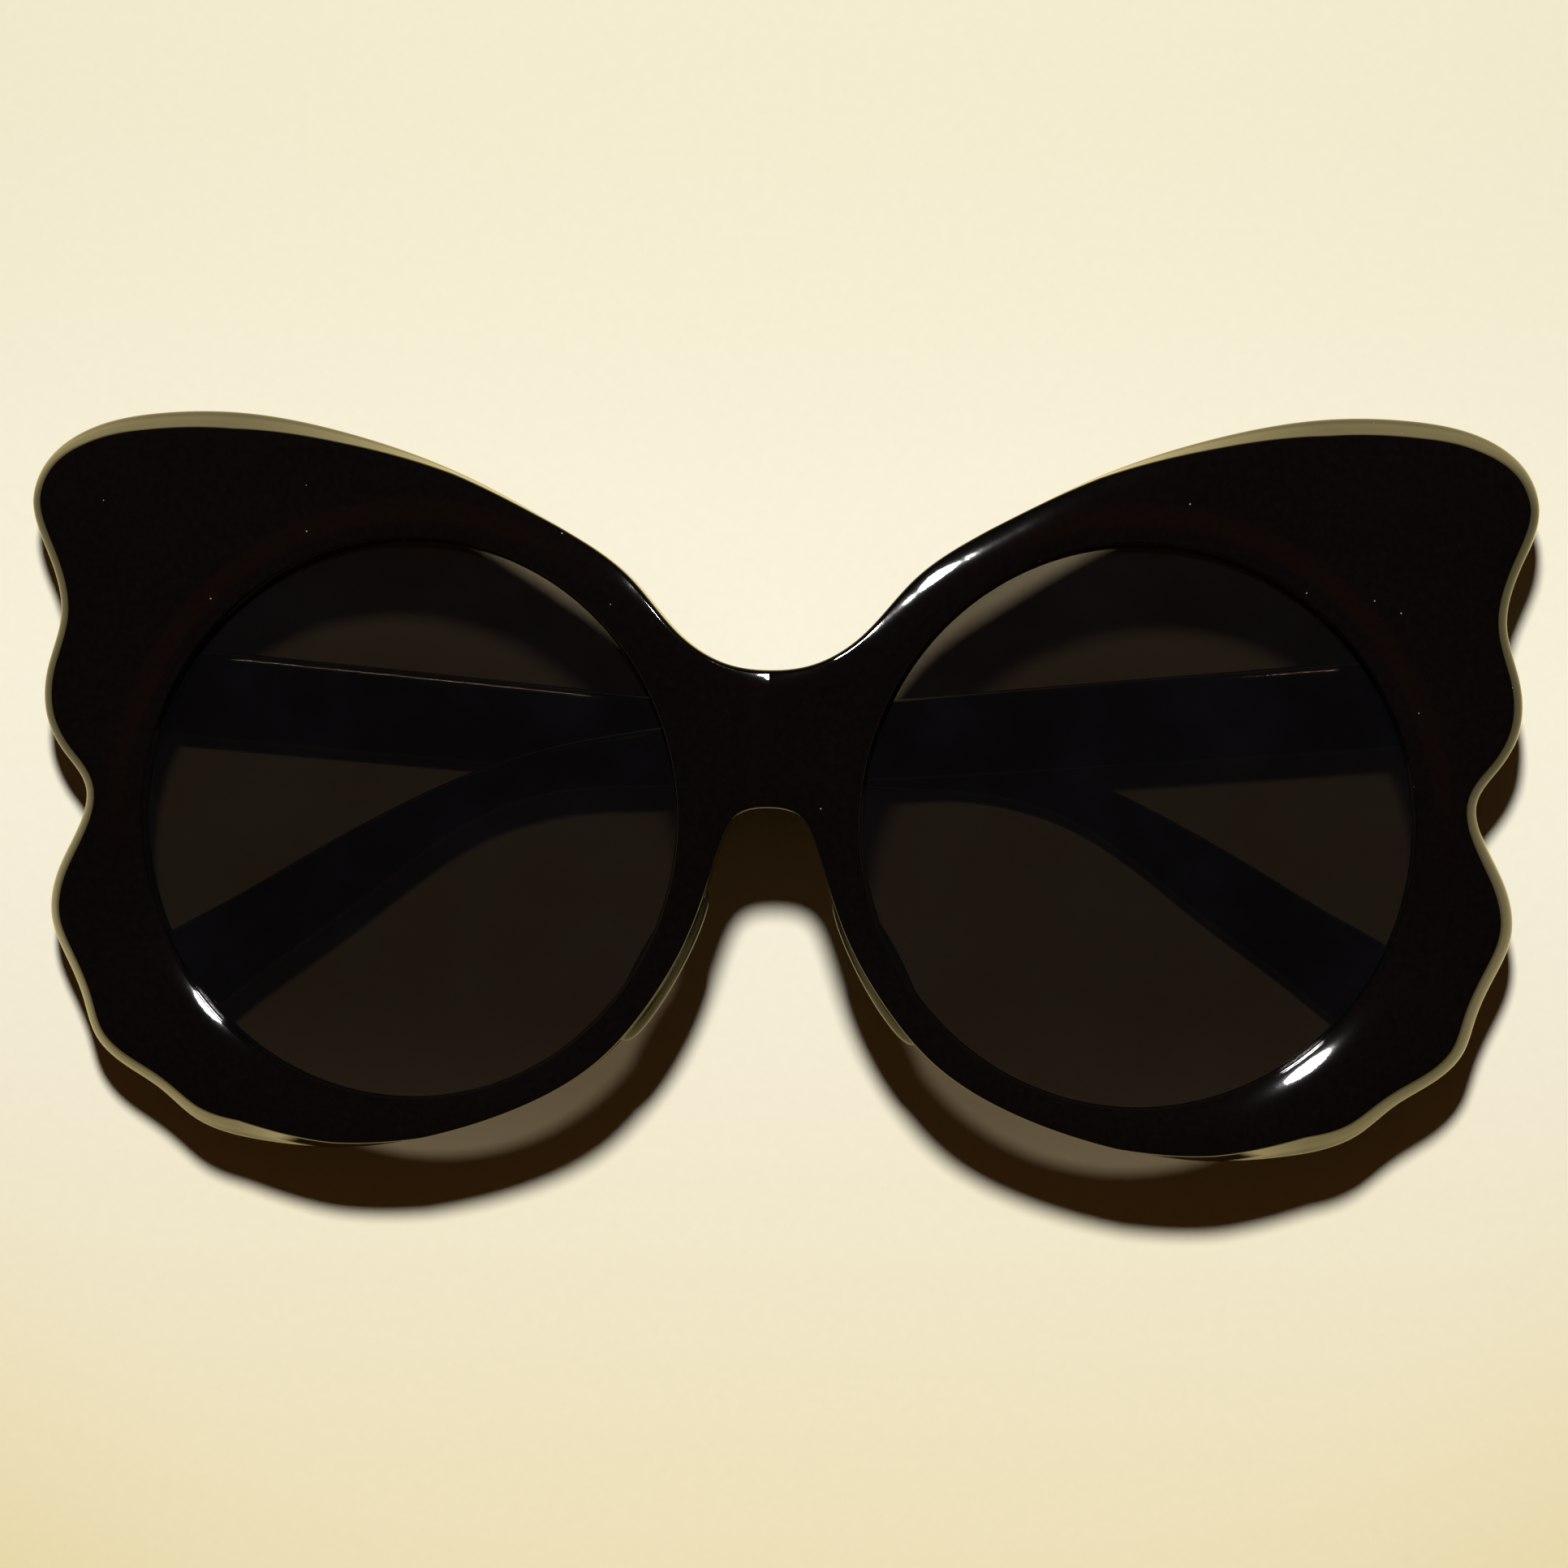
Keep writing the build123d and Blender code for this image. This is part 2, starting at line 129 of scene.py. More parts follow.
# The end piece in millimetres: where its stretch of the outline starts, how far
# it keeps in from the outline, how deep it goes into the front, and its rear
# edge as how far in and how far from the rear face
END_STRETCH = 60
END_SET_BACK = 0.35
END_SUNK = 1.0
END_EDGE = [(1.2, 0), (0.28, 0), (0.09, 0.08), (0, 0.28)]

# The brow's roll in millimetres: distance from the bridge, how far in the face
# starts to fall to the outline, and the radius of that fall
BROW_ROLL = [
    (0, 3.8, 15), (3, 3.4, 15), (6, 2.8, 14), (9, 3.0, 12), (13, 3.9, 12), (18, 4.6, 14),
    (23, 4.9, 15), (32, 4.9, 15), (44, 3.3, 10),
]

# The brow's further lean beside the bridge: distance from the bridge in
# millimetres, and how much steeper the face falls there than a flat wing
BROW_LEAN = [
    (0, 0), (5, 0.012), (9, 0.004), (13, 0.000), (18, -0.008), (23, -0.014), (28, -0.002),
    (34, 0),
]
LEAN_PARTS = 400

# Heights in millimetres between which that lean comes in, and sines of the
# direction from the middle of an opening between which its lower roll does
LEAN_HEIGHTS = (-5, 8)
LOW_ROLL_SINES = (0.35, -0.45)


def length(name, text, size):
    return bpy.props.FloatProperty(
        name=name, description=text, default=size * MM, min=0, unit="LENGTH", precision=5
    )


def offset(name, text, place):
    return bpy.props.FloatProperty(
        name=name, description=text, default=place * MM, unit="LENGTH", precision=5
    )


def angle(name, text, degrees):
    return bpy.props.FloatProperty(
        name=name, description=text, default=math.radians(degrees), unit="ROTATION"
    )


def colour(name, text, value):
    return bpy.props.FloatVectorProperty(
        name=name, description=text, default=value, min=0, max=1, size=3, subtype="COLOR"
    )


class FrontSizes(bpy.types.PropertyGroup):
    half_width: length("Half width", "From the middle of the bridge to the wing tip", 75)
    half_height: length("Half height", "Half of the height from brow to lower rim", 36.45)
    thickness: length("Thickness", "Thickness of the moulded front", 4.6)
    bend_half: length("Bridge bend", "How far out the front bends over the bridge", 9)
    wing_slope: angle("Wing slope", "How far each flat wing leans back", 8.5)
    opening_x: length("Opening across", "Middle of a lens opening from the bridge", 35.85)
    opening_drop: length("Opening drop", "Middle of a lens opening under the middle", 3.8)
    opening_width: length("Opening half width", "Half width at the lens", 26.75)
    opening_height: length("Opening half height", "Half height at the lens", 27.35)
    edge_roll: length("Edge roll", "How far in the face starts to fall to its edge", 3.3)
    edge_radius: length("Edge radius", "Radius of the fall towards the outline", 10)
    lip_roll: length("Lip roll", "How far out the face starts to fall to the lens at its top", 2.5)
    lip_radius: length("Lip radius", "Radius of that fall", 9)
    low_roll: length("Lower lip roll", "How far out it starts to fall at the bottom", 7.3)
    low_radius: length("Lower lip radius", "Radius of that fall", 17)


class LensSizes(bpy.types.PropertyGroup):
    depth: length("Lens depth", "From the face down to the lens", 2.4)
    thickness: length("Lens thickness", "Thickness of the lens", 1.6)
    tuck: length("Tuck", "How far the lens goes into its groove", 0.7)
    crown: length("Lens crown", "How far the middle of the lens bulges", 0.35)
    rings: bpy.props.IntProperty(name="Rings", description="Rings of faces", default=12)


class PadSizes(bpy.types.PropertyGroup):
    length: length("Pad length", "Long way of the oval pad", 17)
    width: length("Pad width", "Short way of the oval pad", 4.6)
    thickness: length("Pad thickness", "Thickness of the pad", 2.8)
    rounding: length("Pad rounding", "Rounding of the pad's edge", 1.1)
    across: length("Pad across", "Middle of the pad from the bridge", 10.7)
    drop: length("Pad drop", "Middle of the pad under the middle", 17.6)
    lean: angle("Lean", "How far the pad leans along the nose", 62)
    splay: angle("Splay", "How far the pad turns to the nose", 40)


class TempleSizes(bpy.types.PropertyGroup):
    reach: length("Reach", "From the hinge pin to the tip", 131)
    width: length("Width", "Width at the hinge", 9.1)
    thickness: length("Thickness", "Thickness at the hinge", 2.8)
    tip_thickness: length("Tip thickness", "Thickness at the tip", 2.3)
    edge: length("Bevelled edge", "Width of the bevel along the edges", 0.62)
    pin_to_face: length("Pin to face", "From the hinge pin to the inner face", 1.55)
    bend_start: length("Bend start", "Where the temple starts to bend", 84)
    bend_radius: length("Bend radius", "Radius of the bend over the ear", 45)
    slope: angle("Slope", "Fall of the straight part", 4.8)
    ear_slope: angle("Ear slope", "Fall of the part behind the ear", 33.5)
    fold_tilt: angle("Fold tilt", "Tilt that lets one temple lie over the other", 1.35)


class HingeSizes(bpy.types.PropertyGroup):
    pin_x: length("Pin across", "Hinge pin from the middle of the bridge", 68)
    pin_y: length("Pin height", "Middle of the hinge over the middle", 9.3)
    pin_behind: length("Pin behind", "Hinge pin behind the crest of the back", 12.037)
    face_behind: length("End piece behind", "Flat rear face behind the crest", 10.487)
    end_inner: length("End piece inner", "Inner side of the end piece", 62.3)
    end_half: length("End piece half height", "Half height of the end piece", 5.5)
    end_corner: length("End piece corner", "Radius of its inner corners", 1.4)
    leaf_rise: length("Leaf rise", "How far a leaf stands out of the plastic", 0.5)
    rivet_reach: length("Rivet reach", "Rivets from the hinge pin", 3.4)
    rivet_apart: length("Rivet offset", "Rivets to either side of the middle", 2.3)
    head_radius: length("Rivet head", "Radius of a rivet's head", 1.0)
    head_height: length("Rivet head height", "Height of a rivet's domed head", 0.35)
    shaft_radius: length("Rivet shaft", "Radius of a rivet's shaft", 0.6)
    shaft_length: length("Rivet shaft length", "Length of a rivet's shaft", 2.4)


class Finishes(bpy.types.PropertyGroup):
    front: colour("Front", "Glossy moulded black of the front", (0.0020, 0.0017, 0.0018))
    glow: colour("Glow", "Light that gets through thin dark plastic", (0.0066, 0.0024, 0.0014))
    temple: colour("Temples", "Moulded black of the temples", (0.0016, 0.0016, 0.0030))
    lens: colour("Lens", "Tint of the lenses", (0.0018, 0.0019, 0.0026))
    through: colour("See-through", "Warm part of what shows through the lenses", (1.0, 0.81, 0.54))
    lens_share: bpy.props.FloatProperty(
        name="Lens share", description="Share of a lens that isn't the warm part", default=0.8625
    )
    pad: colour("Nose pads", "Moulded black of the nose pads", (0.0045, 0.0034, 0.0028))
    dust: colour("Dust", "Dust specks on the plastic", (0.30, 0.26, 0.20))
    hinge: colour("Hinge", "Steel of the leaves and rivets", (0.55, 0.54, 0.52))
    screw: colour("Screw", "Steel of the screws", (0.62, 0.60, 0.57))
    paper: colour("Paper", "Pale paper under the glasses", (0.876, 0.831, 0.686))


class StageSizes(bpy.types.PropertyGroup):
    floor: length("Floor", "Half width of the floor", 900)
    lamp_behind: length("Lamp behind", "Lamp towards the brow", 282)
    lamp_height: length("Lamp height", "Lamp over the floor", 600)
    lamp_width: length("Lamp width", "Across the lamp's round face", 66)
    lamp_power: bpy.props.FloatProperty(
        name="Lamp power", description="In watts", default=5.12, subtype="POWER"
    )
    lamp_tint: colour("Lamp tint", "Colour of the lamp's light", (1, 0.99, 0.965))
    camera_x: length("Camera across", "Camera to the right of the middle", 20)
    camera_y: offset("Camera up", "Camera towards the brow", -1.669)
    camera_z: length("Camera height", "Camera over the floor", 480)
    focal: bpy.props.FloatProperty(
        name="Focal length", description="In millimetres", default=109.13
    )
    aim_x: offset("Aim across", "Place that the camera looks at", 0.840)
    aim_y: offset("Aim up", "Place that the camera looks at", 0.048)
    aim_z: offset("Aim height", "Place that the camera looks at", 12)
    roll: angle("Camera roll", "Turn about the line of sight", -0.661)


class Sunglasses(bpy.types.PropertyGroup):
    front: bpy.props.PointerProperty(type=FrontSizes, name="Front")
    lens: bpy.props.PointerProperty(type=LensSizes, name="Lenses")
    pads: bpy.props.PointerProperty(type=PadSizes, name="Nose pads")
    temples: bpy.props.PointerProperty(type=TempleSizes, name="Temples")
    hinges: bpy.props.PointerProperty(type=HingeSizes, name="Hinges")
    finishes: bpy.props.PointerProperty(type=Finishes, name="Finishes")
    stage: bpy.props.PointerProperty(type=StageSizes, name="Stage")


def sizes():
    return bpy.context.scene.sunglasses


# Node trees


def maths_method(operation, turned=False):
    """A method that joins two numbers by a maths node, the other one first when turned."""

    def method(self, other):
        values = (other, self) if turned else (self, other)
        return self.tree.maths(operation, *values)

    return method


class Number:
    """A number socket that Python's operators can be used on."""

    __add__ = maths_method("ADD")
    __radd__ = maths_method("ADD", True)
    __sub__ = maths_method("SUBTRACT")
    __rsub__ = maths_method("SUBTRACT", True)
    __mul__ = maths_method("MULTIPLY")
    __rmul__ = maths_method("MULTIPLY", True)
    __truediv__ = maths_method("DIVIDE")
    __rtruediv__ = maths_method("DIVIDE", True)
    __pow__ = maths_method("POWER")
    __rpow__ = maths_method("POWER", True)
    __lt__ = maths_method("LESS_THAN")
    __gt__ = maths_method("GREATER_THAN")

    def __init__(self, tree, socket):
        self.tree = tree
        self.socket = socket

    def __neg__(self):
        return self * -1


class Tree:
    """Adds nodes to a shader or geometry tree."""

    def __init__(self, tree):
        self.tree = tree

    def add(self, kind, settings=None, inputs=None, out=0):
        node = self.tree.nodes.new(kind)
        for name, value in (settings or {}).items():
            if name == "stops":
                ramp = node.color_ramp
                while len(ramp.elements) < len(value):
                    ramp.elements.new(1.0)
                for element, (place, shade) in zip(ramp.elements, value):
                    element.position = place
                    element.color = (*shade, 1)
            else:
                setattr(node, name, value)
        for name, value in (inputs or {}).items():
            self.feed(node.inputs[name], value)
        return node if out is None else Number(self, node.outputs[out])

    def feed(self, socket, value):
        if isinstance(value, Number):
            self.tree.links.new(value.socket, socket)
        elif isinstance(value, bpy.types.NodeSocket):
            self.tree.links.new(value, socket)
        elif socket.type == "RGBA" and len(value) == 3:
            socket.default_value = (*value, 1)
        else:
            socket.default_value = value

    def maths(self, operation, *values):
        return self.add("ShaderNodeMath", {"operation": operation}, dict(enumerate(values)))

    def vector(self, operation, *values):
        settings = {"operation": operation}
        return self.add("ShaderNodeVectorMath", settings, dict(enumerate(values)), "Vector")

    def parts(self, vector):
        """The three numbers of a vector."""
        split = self.add("ShaderNodeSeparateXYZ", {}, {"Vector": vector}, None)
        return [Number(self, split.outputs[axis]) for axis in "XYZ"]

    def step(self, value, low, high):
        """0 under low, 1 over high and smooth between them."""
        return self.add(
            "ShaderNodeMapRange",
            {"interpolation_type": "SMOOTHSTEP"},
            {"Value": value, "From Min": low, "From Max": high},
        )

    def between(self, value, low, high):
        """Spreads a value from 0 to 1 over low to high."""
        return self.add(
            "ShaderNodeMapRange", {}, {"Value": value, "To Min": low, "To Max": high}
        )

    def mix(self, share, first, second):
        return self.add(
            "ShaderNodeMix",
            {"data_type": "RGBA"},
            {"Factor": share, "A": first, "B": second},
            "Result",
        )

    def noise(self, place, scale, detail=2.0, roughness=0.5):
        return self.add(
            "ShaderNodeTexNoise",
            {"noise_dimensions": "3D"},
            {"Vector": place, "Scale": scale, "Detail": detail, "Roughness": roughness},
        )


class Finish(Tree):
    """A material with one principled surface."""

    def __init__(self, name):
        self.material = bpy.data.materials.new(name)
        self.material.use_nodes = True
        super().__init__(self.material.node_tree)
        self.tree.nodes.clear()
        self.surface = self.add("ShaderNodeBsdfPrincipled", out=None)
        self.end = self.add("ShaderNodeOutputMaterial", out=None)
        self.tree.links.new(self.surface.outputs[0], self.end.inputs["Surface"])
        self.place = self.add("ShaderNodeTexCoord", out="Object")

    def mottled(self, share, shade, deep, lit):
        """Between a deeper and a lighter version of a shade."""
        return self.mix(
            share,
            tuple(value * deep for value in shade),
            tuple(min(value * lit, 1) for value in shade),
        )

    def stretched(self, scale):
        """The object's coordinates, drawn out along an axis."""
        return self.add(
            "ShaderNodeMapping", {"vector_type": "POINT"}, {"Vector": self.place, "Scale": scale}
        )

    def set(self, **values):
        for name, value in values.items():
            title = name.replace("_", " ").title().replace("Ior", "IOR")
            self.feed(self.surface.inputs[title], value)

    def bump(self, height, distance, strength=1.0):
        relief = self.add(
            "ShaderNodeBump",
            {},
            {"Strength": strength, "Distance": distance, "Height": height},
            "Normal",
        )
        self.feed(self.surface.inputs["Normal"], relief)

    def specks(self, spacing, size, share):
        """1 on a few tiny dust specks and 0 elsewhere."""
        cells = self.add(
            "ShaderNodeTexVoronoi",
            {"feature": "F1"},
            {"Vector": self.place, "Scale": 1 / spacing},
            None,
        )
        near = Number(self, cells.outputs["Distance"]) < size / spacing
        tint = self.add(
            "ShaderNodeSeparateColor", {}, {"Color": cells.outputs["Color"]}, "Red"
        )
        return near * (tint < share)


# Finishes


def gloss_plastic(name, shade):
    """Dark polished plastic with a faint mottle, dust and light through its thin places."""
    finish = Finish(name)
    x, y, _ = finish.parts(finish.place)
    mottle = finish.noise(finish.place, 1500, 3)
    cloud = finish.noise(finish.place, 60, 2)
    base = finish.mottled(finish.step(mottle * 0.7 + cloud * 0.3, 0.35, 0.68), shade, 0.8, 1.25)
    front = sizes().front
    # Light gets through a band round each lens opening, most above it and outwards
    glow = None
    for side in SIDES.values():
        across = (x - side * front.opening_x) / front.opening_width
        up = (y + front.opening_drop) / front.opening_height
        ring = (across * across + up * up) ** 0.5
        band = finish.step(ring, 1.04, 1.09) * (1 - finish.step(ring, 1.10, 1.19))
        aimed = finish.step(across * side * 0.5 + up * 0.87, 0.15, 1.0)
        spot = band * aimed
        glow = spot if glow is None else glow + spot
    # and through a narrow streak on the bridge
    streak = 1 - finish.step(finish.maths("ABSOLUTE", x + 1.5 * MM), 0.2 * MM, 1.1 * MM)
    glow = glow + streak * 0.45
    patchy = finish.between(finish.noise(finish.place, 300, 3, 0.6), 0.35, 1.0)
    base = finish.mix(glow * patchy * 0.6, base, sizes().finishes.glow)
    # More dust lies towards the upper right wing
    dusty = finish.step(x + y, 40 * MM, 75 * MM) * finish.step(cloud, 0.42, 0.60)
    dust = finish.specks(1.6 * MM, 0.075 * MM, 0.10 + dusty * 0.45)
    base = finish.mix(dust * 0.8, base, sizes().finishes.dust)
    finish.set(
        base_color=base,
        roughness=finish.between(cloud, 0.022, 0.050) + dust * 0.5,
        ior=1.5,
    )
    finish.bump(mottle, 0.004 * MM, 0.35)
    return finish.material


def temple_plastic():
    """Dark polished plastic with rubbed lines and the shine of a slight bow."""
    finish = Finish("temple_moulded_black")
    grain = finish.noise(finish.stretched((0.04, 1, 1)), 2400, 3)
    cloud = finish.noise(finish.place, 90, 2)
    base = finish.mottled(finish.step(grain, 0.35, 0.7), sizes().finishes.temple, 0.7, 1.6)
    dust = finish.specks(2.6 * MM, 0.06 * MM, 0.12)
    base = finish.mix(dust * 0.5, base, sizes().finishes.dust)
    finish.set(
        base_color=base,
        roughness=finish.between(cloud * 0.6 + grain * 0.4, 0.028, 0.060) + dust * 0.4,
        ior=1.5,
    )
    # The solids are straight, so a bump gives the temples their slight bow
    x, _, _ = finish.parts(finish.place)
    crest, start, bow_width = 12.5 * MM, 8 * MM, 1.09
    left = finish.maths("MINIMUM", x, 0) - crest
    right = finish.maths("MAXIMUM", x, 0)
    bow = left * left / bow_width + ((right * right + start**2) ** 0.5 - start) * 0.08
    finish.bump(bow + grain * (0.001 * MM), 1.0)
    return finish.material


def pad_plastic():
    """The nose pads' plastic, polished less than the front."""
    finish = Finish("nose_pad_moulded_black")
    skin = finish.noise(finish.place, 1500, 3)
    cloud = finish.noise(finish.place, 180, 2)
    base = finish.mottled(finish.step(cloud, 0.3, 0.7), sizes().finishes.pad, 0.7, 1.5)
    finish.set(base_color=base, roughness=finish.between(skin, 0.16, 0.30), ior=1.48)
    finish.bump(skin, 0.006 * MM, 0.3)
    return finish.material


def lens_tint():
    """Dark tint, see-through in part and a little paler along the top and bottom rims."""
    finish = Finish("lens_smoke_tint")
    _, y, _ = finish.parts(finish.place)
    smear = finish.noise(finish.place, 110, 4, 0.6)
    base = finish.mottled(finish.step(smear, 0.3, 0.75), sizes().finishes.lens, 1, 1.8)
    dust = finish.specks(3.2 * MM, 0.06 * MM, 0.10)
    base = finish.mix(dust * 0.7, base, sizes().finishes.dust)
    pale = finish.step(
        finish.maths("ABSOLUTE", y + sizes().front.opening_drop), 16 * MM, 28 * MM
    )
    finish.set(
        base_color=base,
        roughness=finish.between(smear, 0.02, 0.06) + dust * 0.4,
        ior=1.5,
        alpha=0.798 - pale * 0.06 + smear * 0.012 + dust * 0.1,
    )
    through = finish.add(
        "ShaderNodeBsdfTransparent", {}, {"Color": tuple(sizes().finishes.through)}
    )
    both = finish.add(
        "ShaderNodeMixShader",
        {},
        {0: sizes().finishes.lens_share, 1: through, 2: finish.surface.outputs[0]},
    )
    finish.feed(finish.end.inputs["Surface"], both)
    finish.material.surface_render_method = "BLENDED"
    return finish.material


def brushed_steel(name, shade, turned):
    """Steel with fine drawn lines, or with turned rings as on screws and rivets."""
    finish = Finish(name)
    lines = finish.noise(finish.stretched((1, 1, 0.05) if turned else (0.06, 1, 1)), 6000, 3)
    stain = finish.noise(finish.place, 800, 3)
    base = finish.mottled(
        finish.step(lines * 0.6 + stain * 0.4, 0.3, 0.7), shade, 0.72, 1.12
    )
    finish.set(base_color=base, metallic=1.0, roughness=finish.between(stain, 0.20, 0.38))
    finish.bump(lines, 0.004 * MM, 0.4)
    return finish.material


def paper():
    """Pale warm paper whose colour carries painted light and shade: darker towards the top,
    yellower towards the bottom and deeper in its far lower corners, and warmer where it is seen in
    reflections.
    """
    finish = Finish("pale_paper")
    x, y, _ = finish.parts(finish.place)
    fibre = finish.noise(finish.place, 900, 4)
    # Painted light and shade: the paper is made darker towards the top, where the lamp is nearer,
    # lighter and yellower towards the bottom, where the lamp is farther, and deeper yellow in its
    # far lower corners, standing in for uneven light
    low = finish.step(-y, 10 * MM, 95 * MM)
    high = finish.step(y, -5 * MM, 85 * MM)
    far = finish.step((x * x + y * y) ** 0.5, 80 * MM, 130 * MM)
    base = finish.mix(low, tuple(sizes().finishes.paper), (0.925, 0.832, 0.545))
    base = finish.mix(high, base, (0.735, 0.695, 0.528))
    base = finish.mix(low * far, base, (0.885, 0.765, 0.430))
    base = finish.mix(finish.step(fibre, 0.3, 0.7) * 0.03, base, (0.45, 0.40, 0.28))
    # Painted reflection: the paper is warmer where it is seen in reflections, which tints the
    # reflections in the front's sloping edges
    mirrored = finish.add("ShaderNodeLightPath", {}, {}, "Is Glossy Ray")
    warm = finish.vector("MULTIPLY", base, (1.10, 0.97, 0.58))
    base = finish.mix(mirrored, base, warm)
    finish.set(base_color=base, roughness=0.9)
    finish.surface.inputs["Specular IOR Level"].default_value = 0.15
    return finish.material


# Shapes


def curve_through(points):
    """A smooth curve's evaluator through points, by their distance apart."""
    points = np.asarray(points, float)
    gaps = np.hypot(*np.diff(points[:, :2], axis=0).T)
    at = np.concatenate([[0], np.cumsum(gaps)])
    count = len(points)
    system = np.zeros((count, count))
    load = np.zeros_like(points)
    system[0, 0] = system[-1, -1] = 1
    for i in range(1, count - 1):
        before, after = gaps[i - 1], gaps[i]
        system[i, i - 1 : i + 2] = before, 2 * (before + after), after
        load[i] = 6 * (
            (points[i + 1] - points[i]) / after - (points[i] - points[i - 1]) / before
        )
    bend = np.linalg.solve(system, load)

    def evaluate(where):
        where = np.asarray(where, float)
        i = np.clip(np.searchsorted(at, where, side="right") - 1, 0, count - 2)
        gap = gaps[i][:, None]
        a = (at[i + 1] - where)[:, None] / gap
        b = 1 - a
        rise = (a**3 - a) * bend[i] + (b**3 - b) * bend[i + 1]
        return a * points[i] + b * points[i + 1] + rise * gap**2 / 6

    return evaluate, at


def even_points(points, count):
    """Points spread evenly along the smooth curve through the given ones."""
    evaluate, at = curve_through(points)
    fine = np.linspace(0, at[-1], FINE_POINTS)
    line = evaluate(fine)
    run = np.concatenate([[0], np.cumsum(np.hypot(*np.diff(line[:, :2], axis=0).T))])
    return evaluate(np.interp(np.linspace(0, run[-1], count), run, fine))


def finer(profile, parts):
    """A profile with each of its steps divided by a smooth curve."""
    evaluate, at = curve_through(profile)
    where = np.interp(np.arange(0, len(at) - 1 + 0.5 / parts, 1 / parts), np.arange(len(at)), at)
    return evaluate(where)


def cleaned(mesh, merge, smallest, crease):
    """Joins a mesh's doubled points, turns its normals outwards and smooths it."""
    work = bmesh.new()
    work.from_mesh(mesh)
    bmesh.ops.remove_doubles(work, verts=work.verts, dist=merge * MM)
    bmesh.ops.dissolve_degenerate(work, edges=work.edges, dist=smallest * MM)
    bmesh.ops.recalc_face_normals(work, faces=work.faces)
    work.to_mesh(mesh)
    work.free()
    mesh.shade_smooth()
    mesh.set_sharp_from_angle(angle=math.radians(crease))


def mesh_object(name, points, faces, crease):
    """A smooth closed mesh with its normals outwards."""
    mesh = bpy.data.meshes.new(name)
    mesh.from_pydata([tuple(point) for point in points], [], faces)
    cleaned(mesh, merge=0.0002, smallest=0.0001, crease=crease)
    piece = bpy.data.objects.new(name, mesh)
    bpy.context.scene.collection.objects.link(piece)
    return piece


def rows_to_faces(rows, closed=True, first=0):
    """Quads between neighbouring rows of equally many points."""
    count = rows.shape[1]
    faces = []
    for j in range(rows.shape[0] - 1):
        for i in range(count if closed else count - 1):
            k = (i + 1) % count
            a, b = first + j * count, first + (j + 1) * count
            faces.append((a + i, a + k, b + k, b + i))
    return faces


def solid_of_rows(name, rows, crease):
    """A closed piece from a stack of rings, with flat ends."""
    rows = np.asarray(rows)
    count = rows.shape[1]
    faces = rows_to_faces(rows)
    faces.append(tuple(range(count - 1, -1, -1)))
    faces.append(tuple(range(len(rows) * count - count, len(rows) * count)))
    return mesh_object(name, rows.reshape(-1, 3), faces, crease)


def dress(piece, material, body, slot, *nodes):
    """Gives a piece its finish and its body, and hides the nodes that it stands for."""
    piece.data.materials.clear()
    piece.data.materials.append(material)
    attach(piece, body)
    if nodes:
        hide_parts(*nodes)


def pins():
    return {
        side: Vector(joint["pos_m"])
        for side in SIDES
        for joint in frame["joints"]
        if joint["name"].startswith(side)
    }


def front_turn():
    """How far the whole front is turned so that the lower temple lies flat."""
    between = pins()["right"] - pins()["left"]
    return -math.atan2(between.z, between.x)


def front_place():
    """Moves drawn points of the front to where it lies."""
    hinges = sizes().hinges
    middle = (pins()["right"] + pins()["left"]) / 2
    drawn = Vector((0, -hinges.pin_y, hinges.pin_behind))
    return (
        Matrix.Translation(middle)
        @ Matrix.Rotation(front_turn(), 4, "Y")
        @ Matrix.Translation(drawn)
    )


def temple_place(side):
    """Moves points, drawn from the pin as across, up and behind, to the folded temple."""
    turn = SIDES[side] * math.pi / 2 + sizes().temples.fold_tilt + front_turn()
    return Matrix.Translation(pins()[side]) @ Matrix.Rotation(turn, 4, "Y")


def put(points, place):
    points = np.asarray(points, float)
    turn = np.array(place.to_3x3())
    return points @ turn.T + np.array(place.translation)


def wing_fall(x):
    """How far the front has fallen at this distance from the middle."""
    front = sizes().front
    radius = front.bend_half / math.sin(front.wing_slope)
    reach = np.minimum(np.abs(x), front.bend_half)
    over = radius - np.sqrt(radius**2 - reach**2)
    return over + (np.abs(x) - reach) * math.tan(front.wing_slope)


def wrap_height(x, depth):
    """Height of the bent surface that lies this deep under the face."""
    return sizes().front.thickness - depth - wing_fall(x)


def outline():
    """Even points of the right half's outline, their inward directions and wall shares."""
    front = sizes().front
    given = np.array(WING_OUTLINE) * (front.half_width, front.half_height, 1)
    line = even_points(given[:, :2], OUTLINE_POINTS)
    _, at = curve_through(given[:, :2])
    run = np.concatenate([[0], np.cumsum(np.hypot(*np.diff(line, axis=0).T))])
    share = np.interp(run / run[-1], at / at[-1], given[:, 2])
    along = np.gradient(line, axis=0)
    along[0] = 1, 0
    along[-1] = -1, 0
    along /= np.hypot(*along.T)[:, None]
    return line, np.stack([along[:, 1], -along[:, 0]], 1), share


def distance_to_line(points, line):
    """Shortest distance from each point to a line of many short pieces, and where."""
    start, run = line[:-1], np.diff(line, axis=0)
    long = (run**2).sum(1)
    best, where = np.empty(len(points)), np.empty(points.shape)
    batch = 600
    for low in range(0, len(points), batch):
        part = points[low : low + batch, None] - start[None]
        share = np.clip((part * run).sum(2) / long, 0, 1)
        gap = part - share[:, :, None] * run
        far = (gap**2).sum(2)
        pick = np.arange(len(far)), far.argmin(1)
        best[low : low + batch] = np.sqrt(far[pick])
        where[low : low + batch] = points[low : low + batch] - gap[pick]
    return best, where


def soft(share):
    """Turns a share, kept from 0 to 1, into one that starts and ends gently."""
    share = np.clip(share, 0, 1)
    return share * share * (3 - 2 * share)


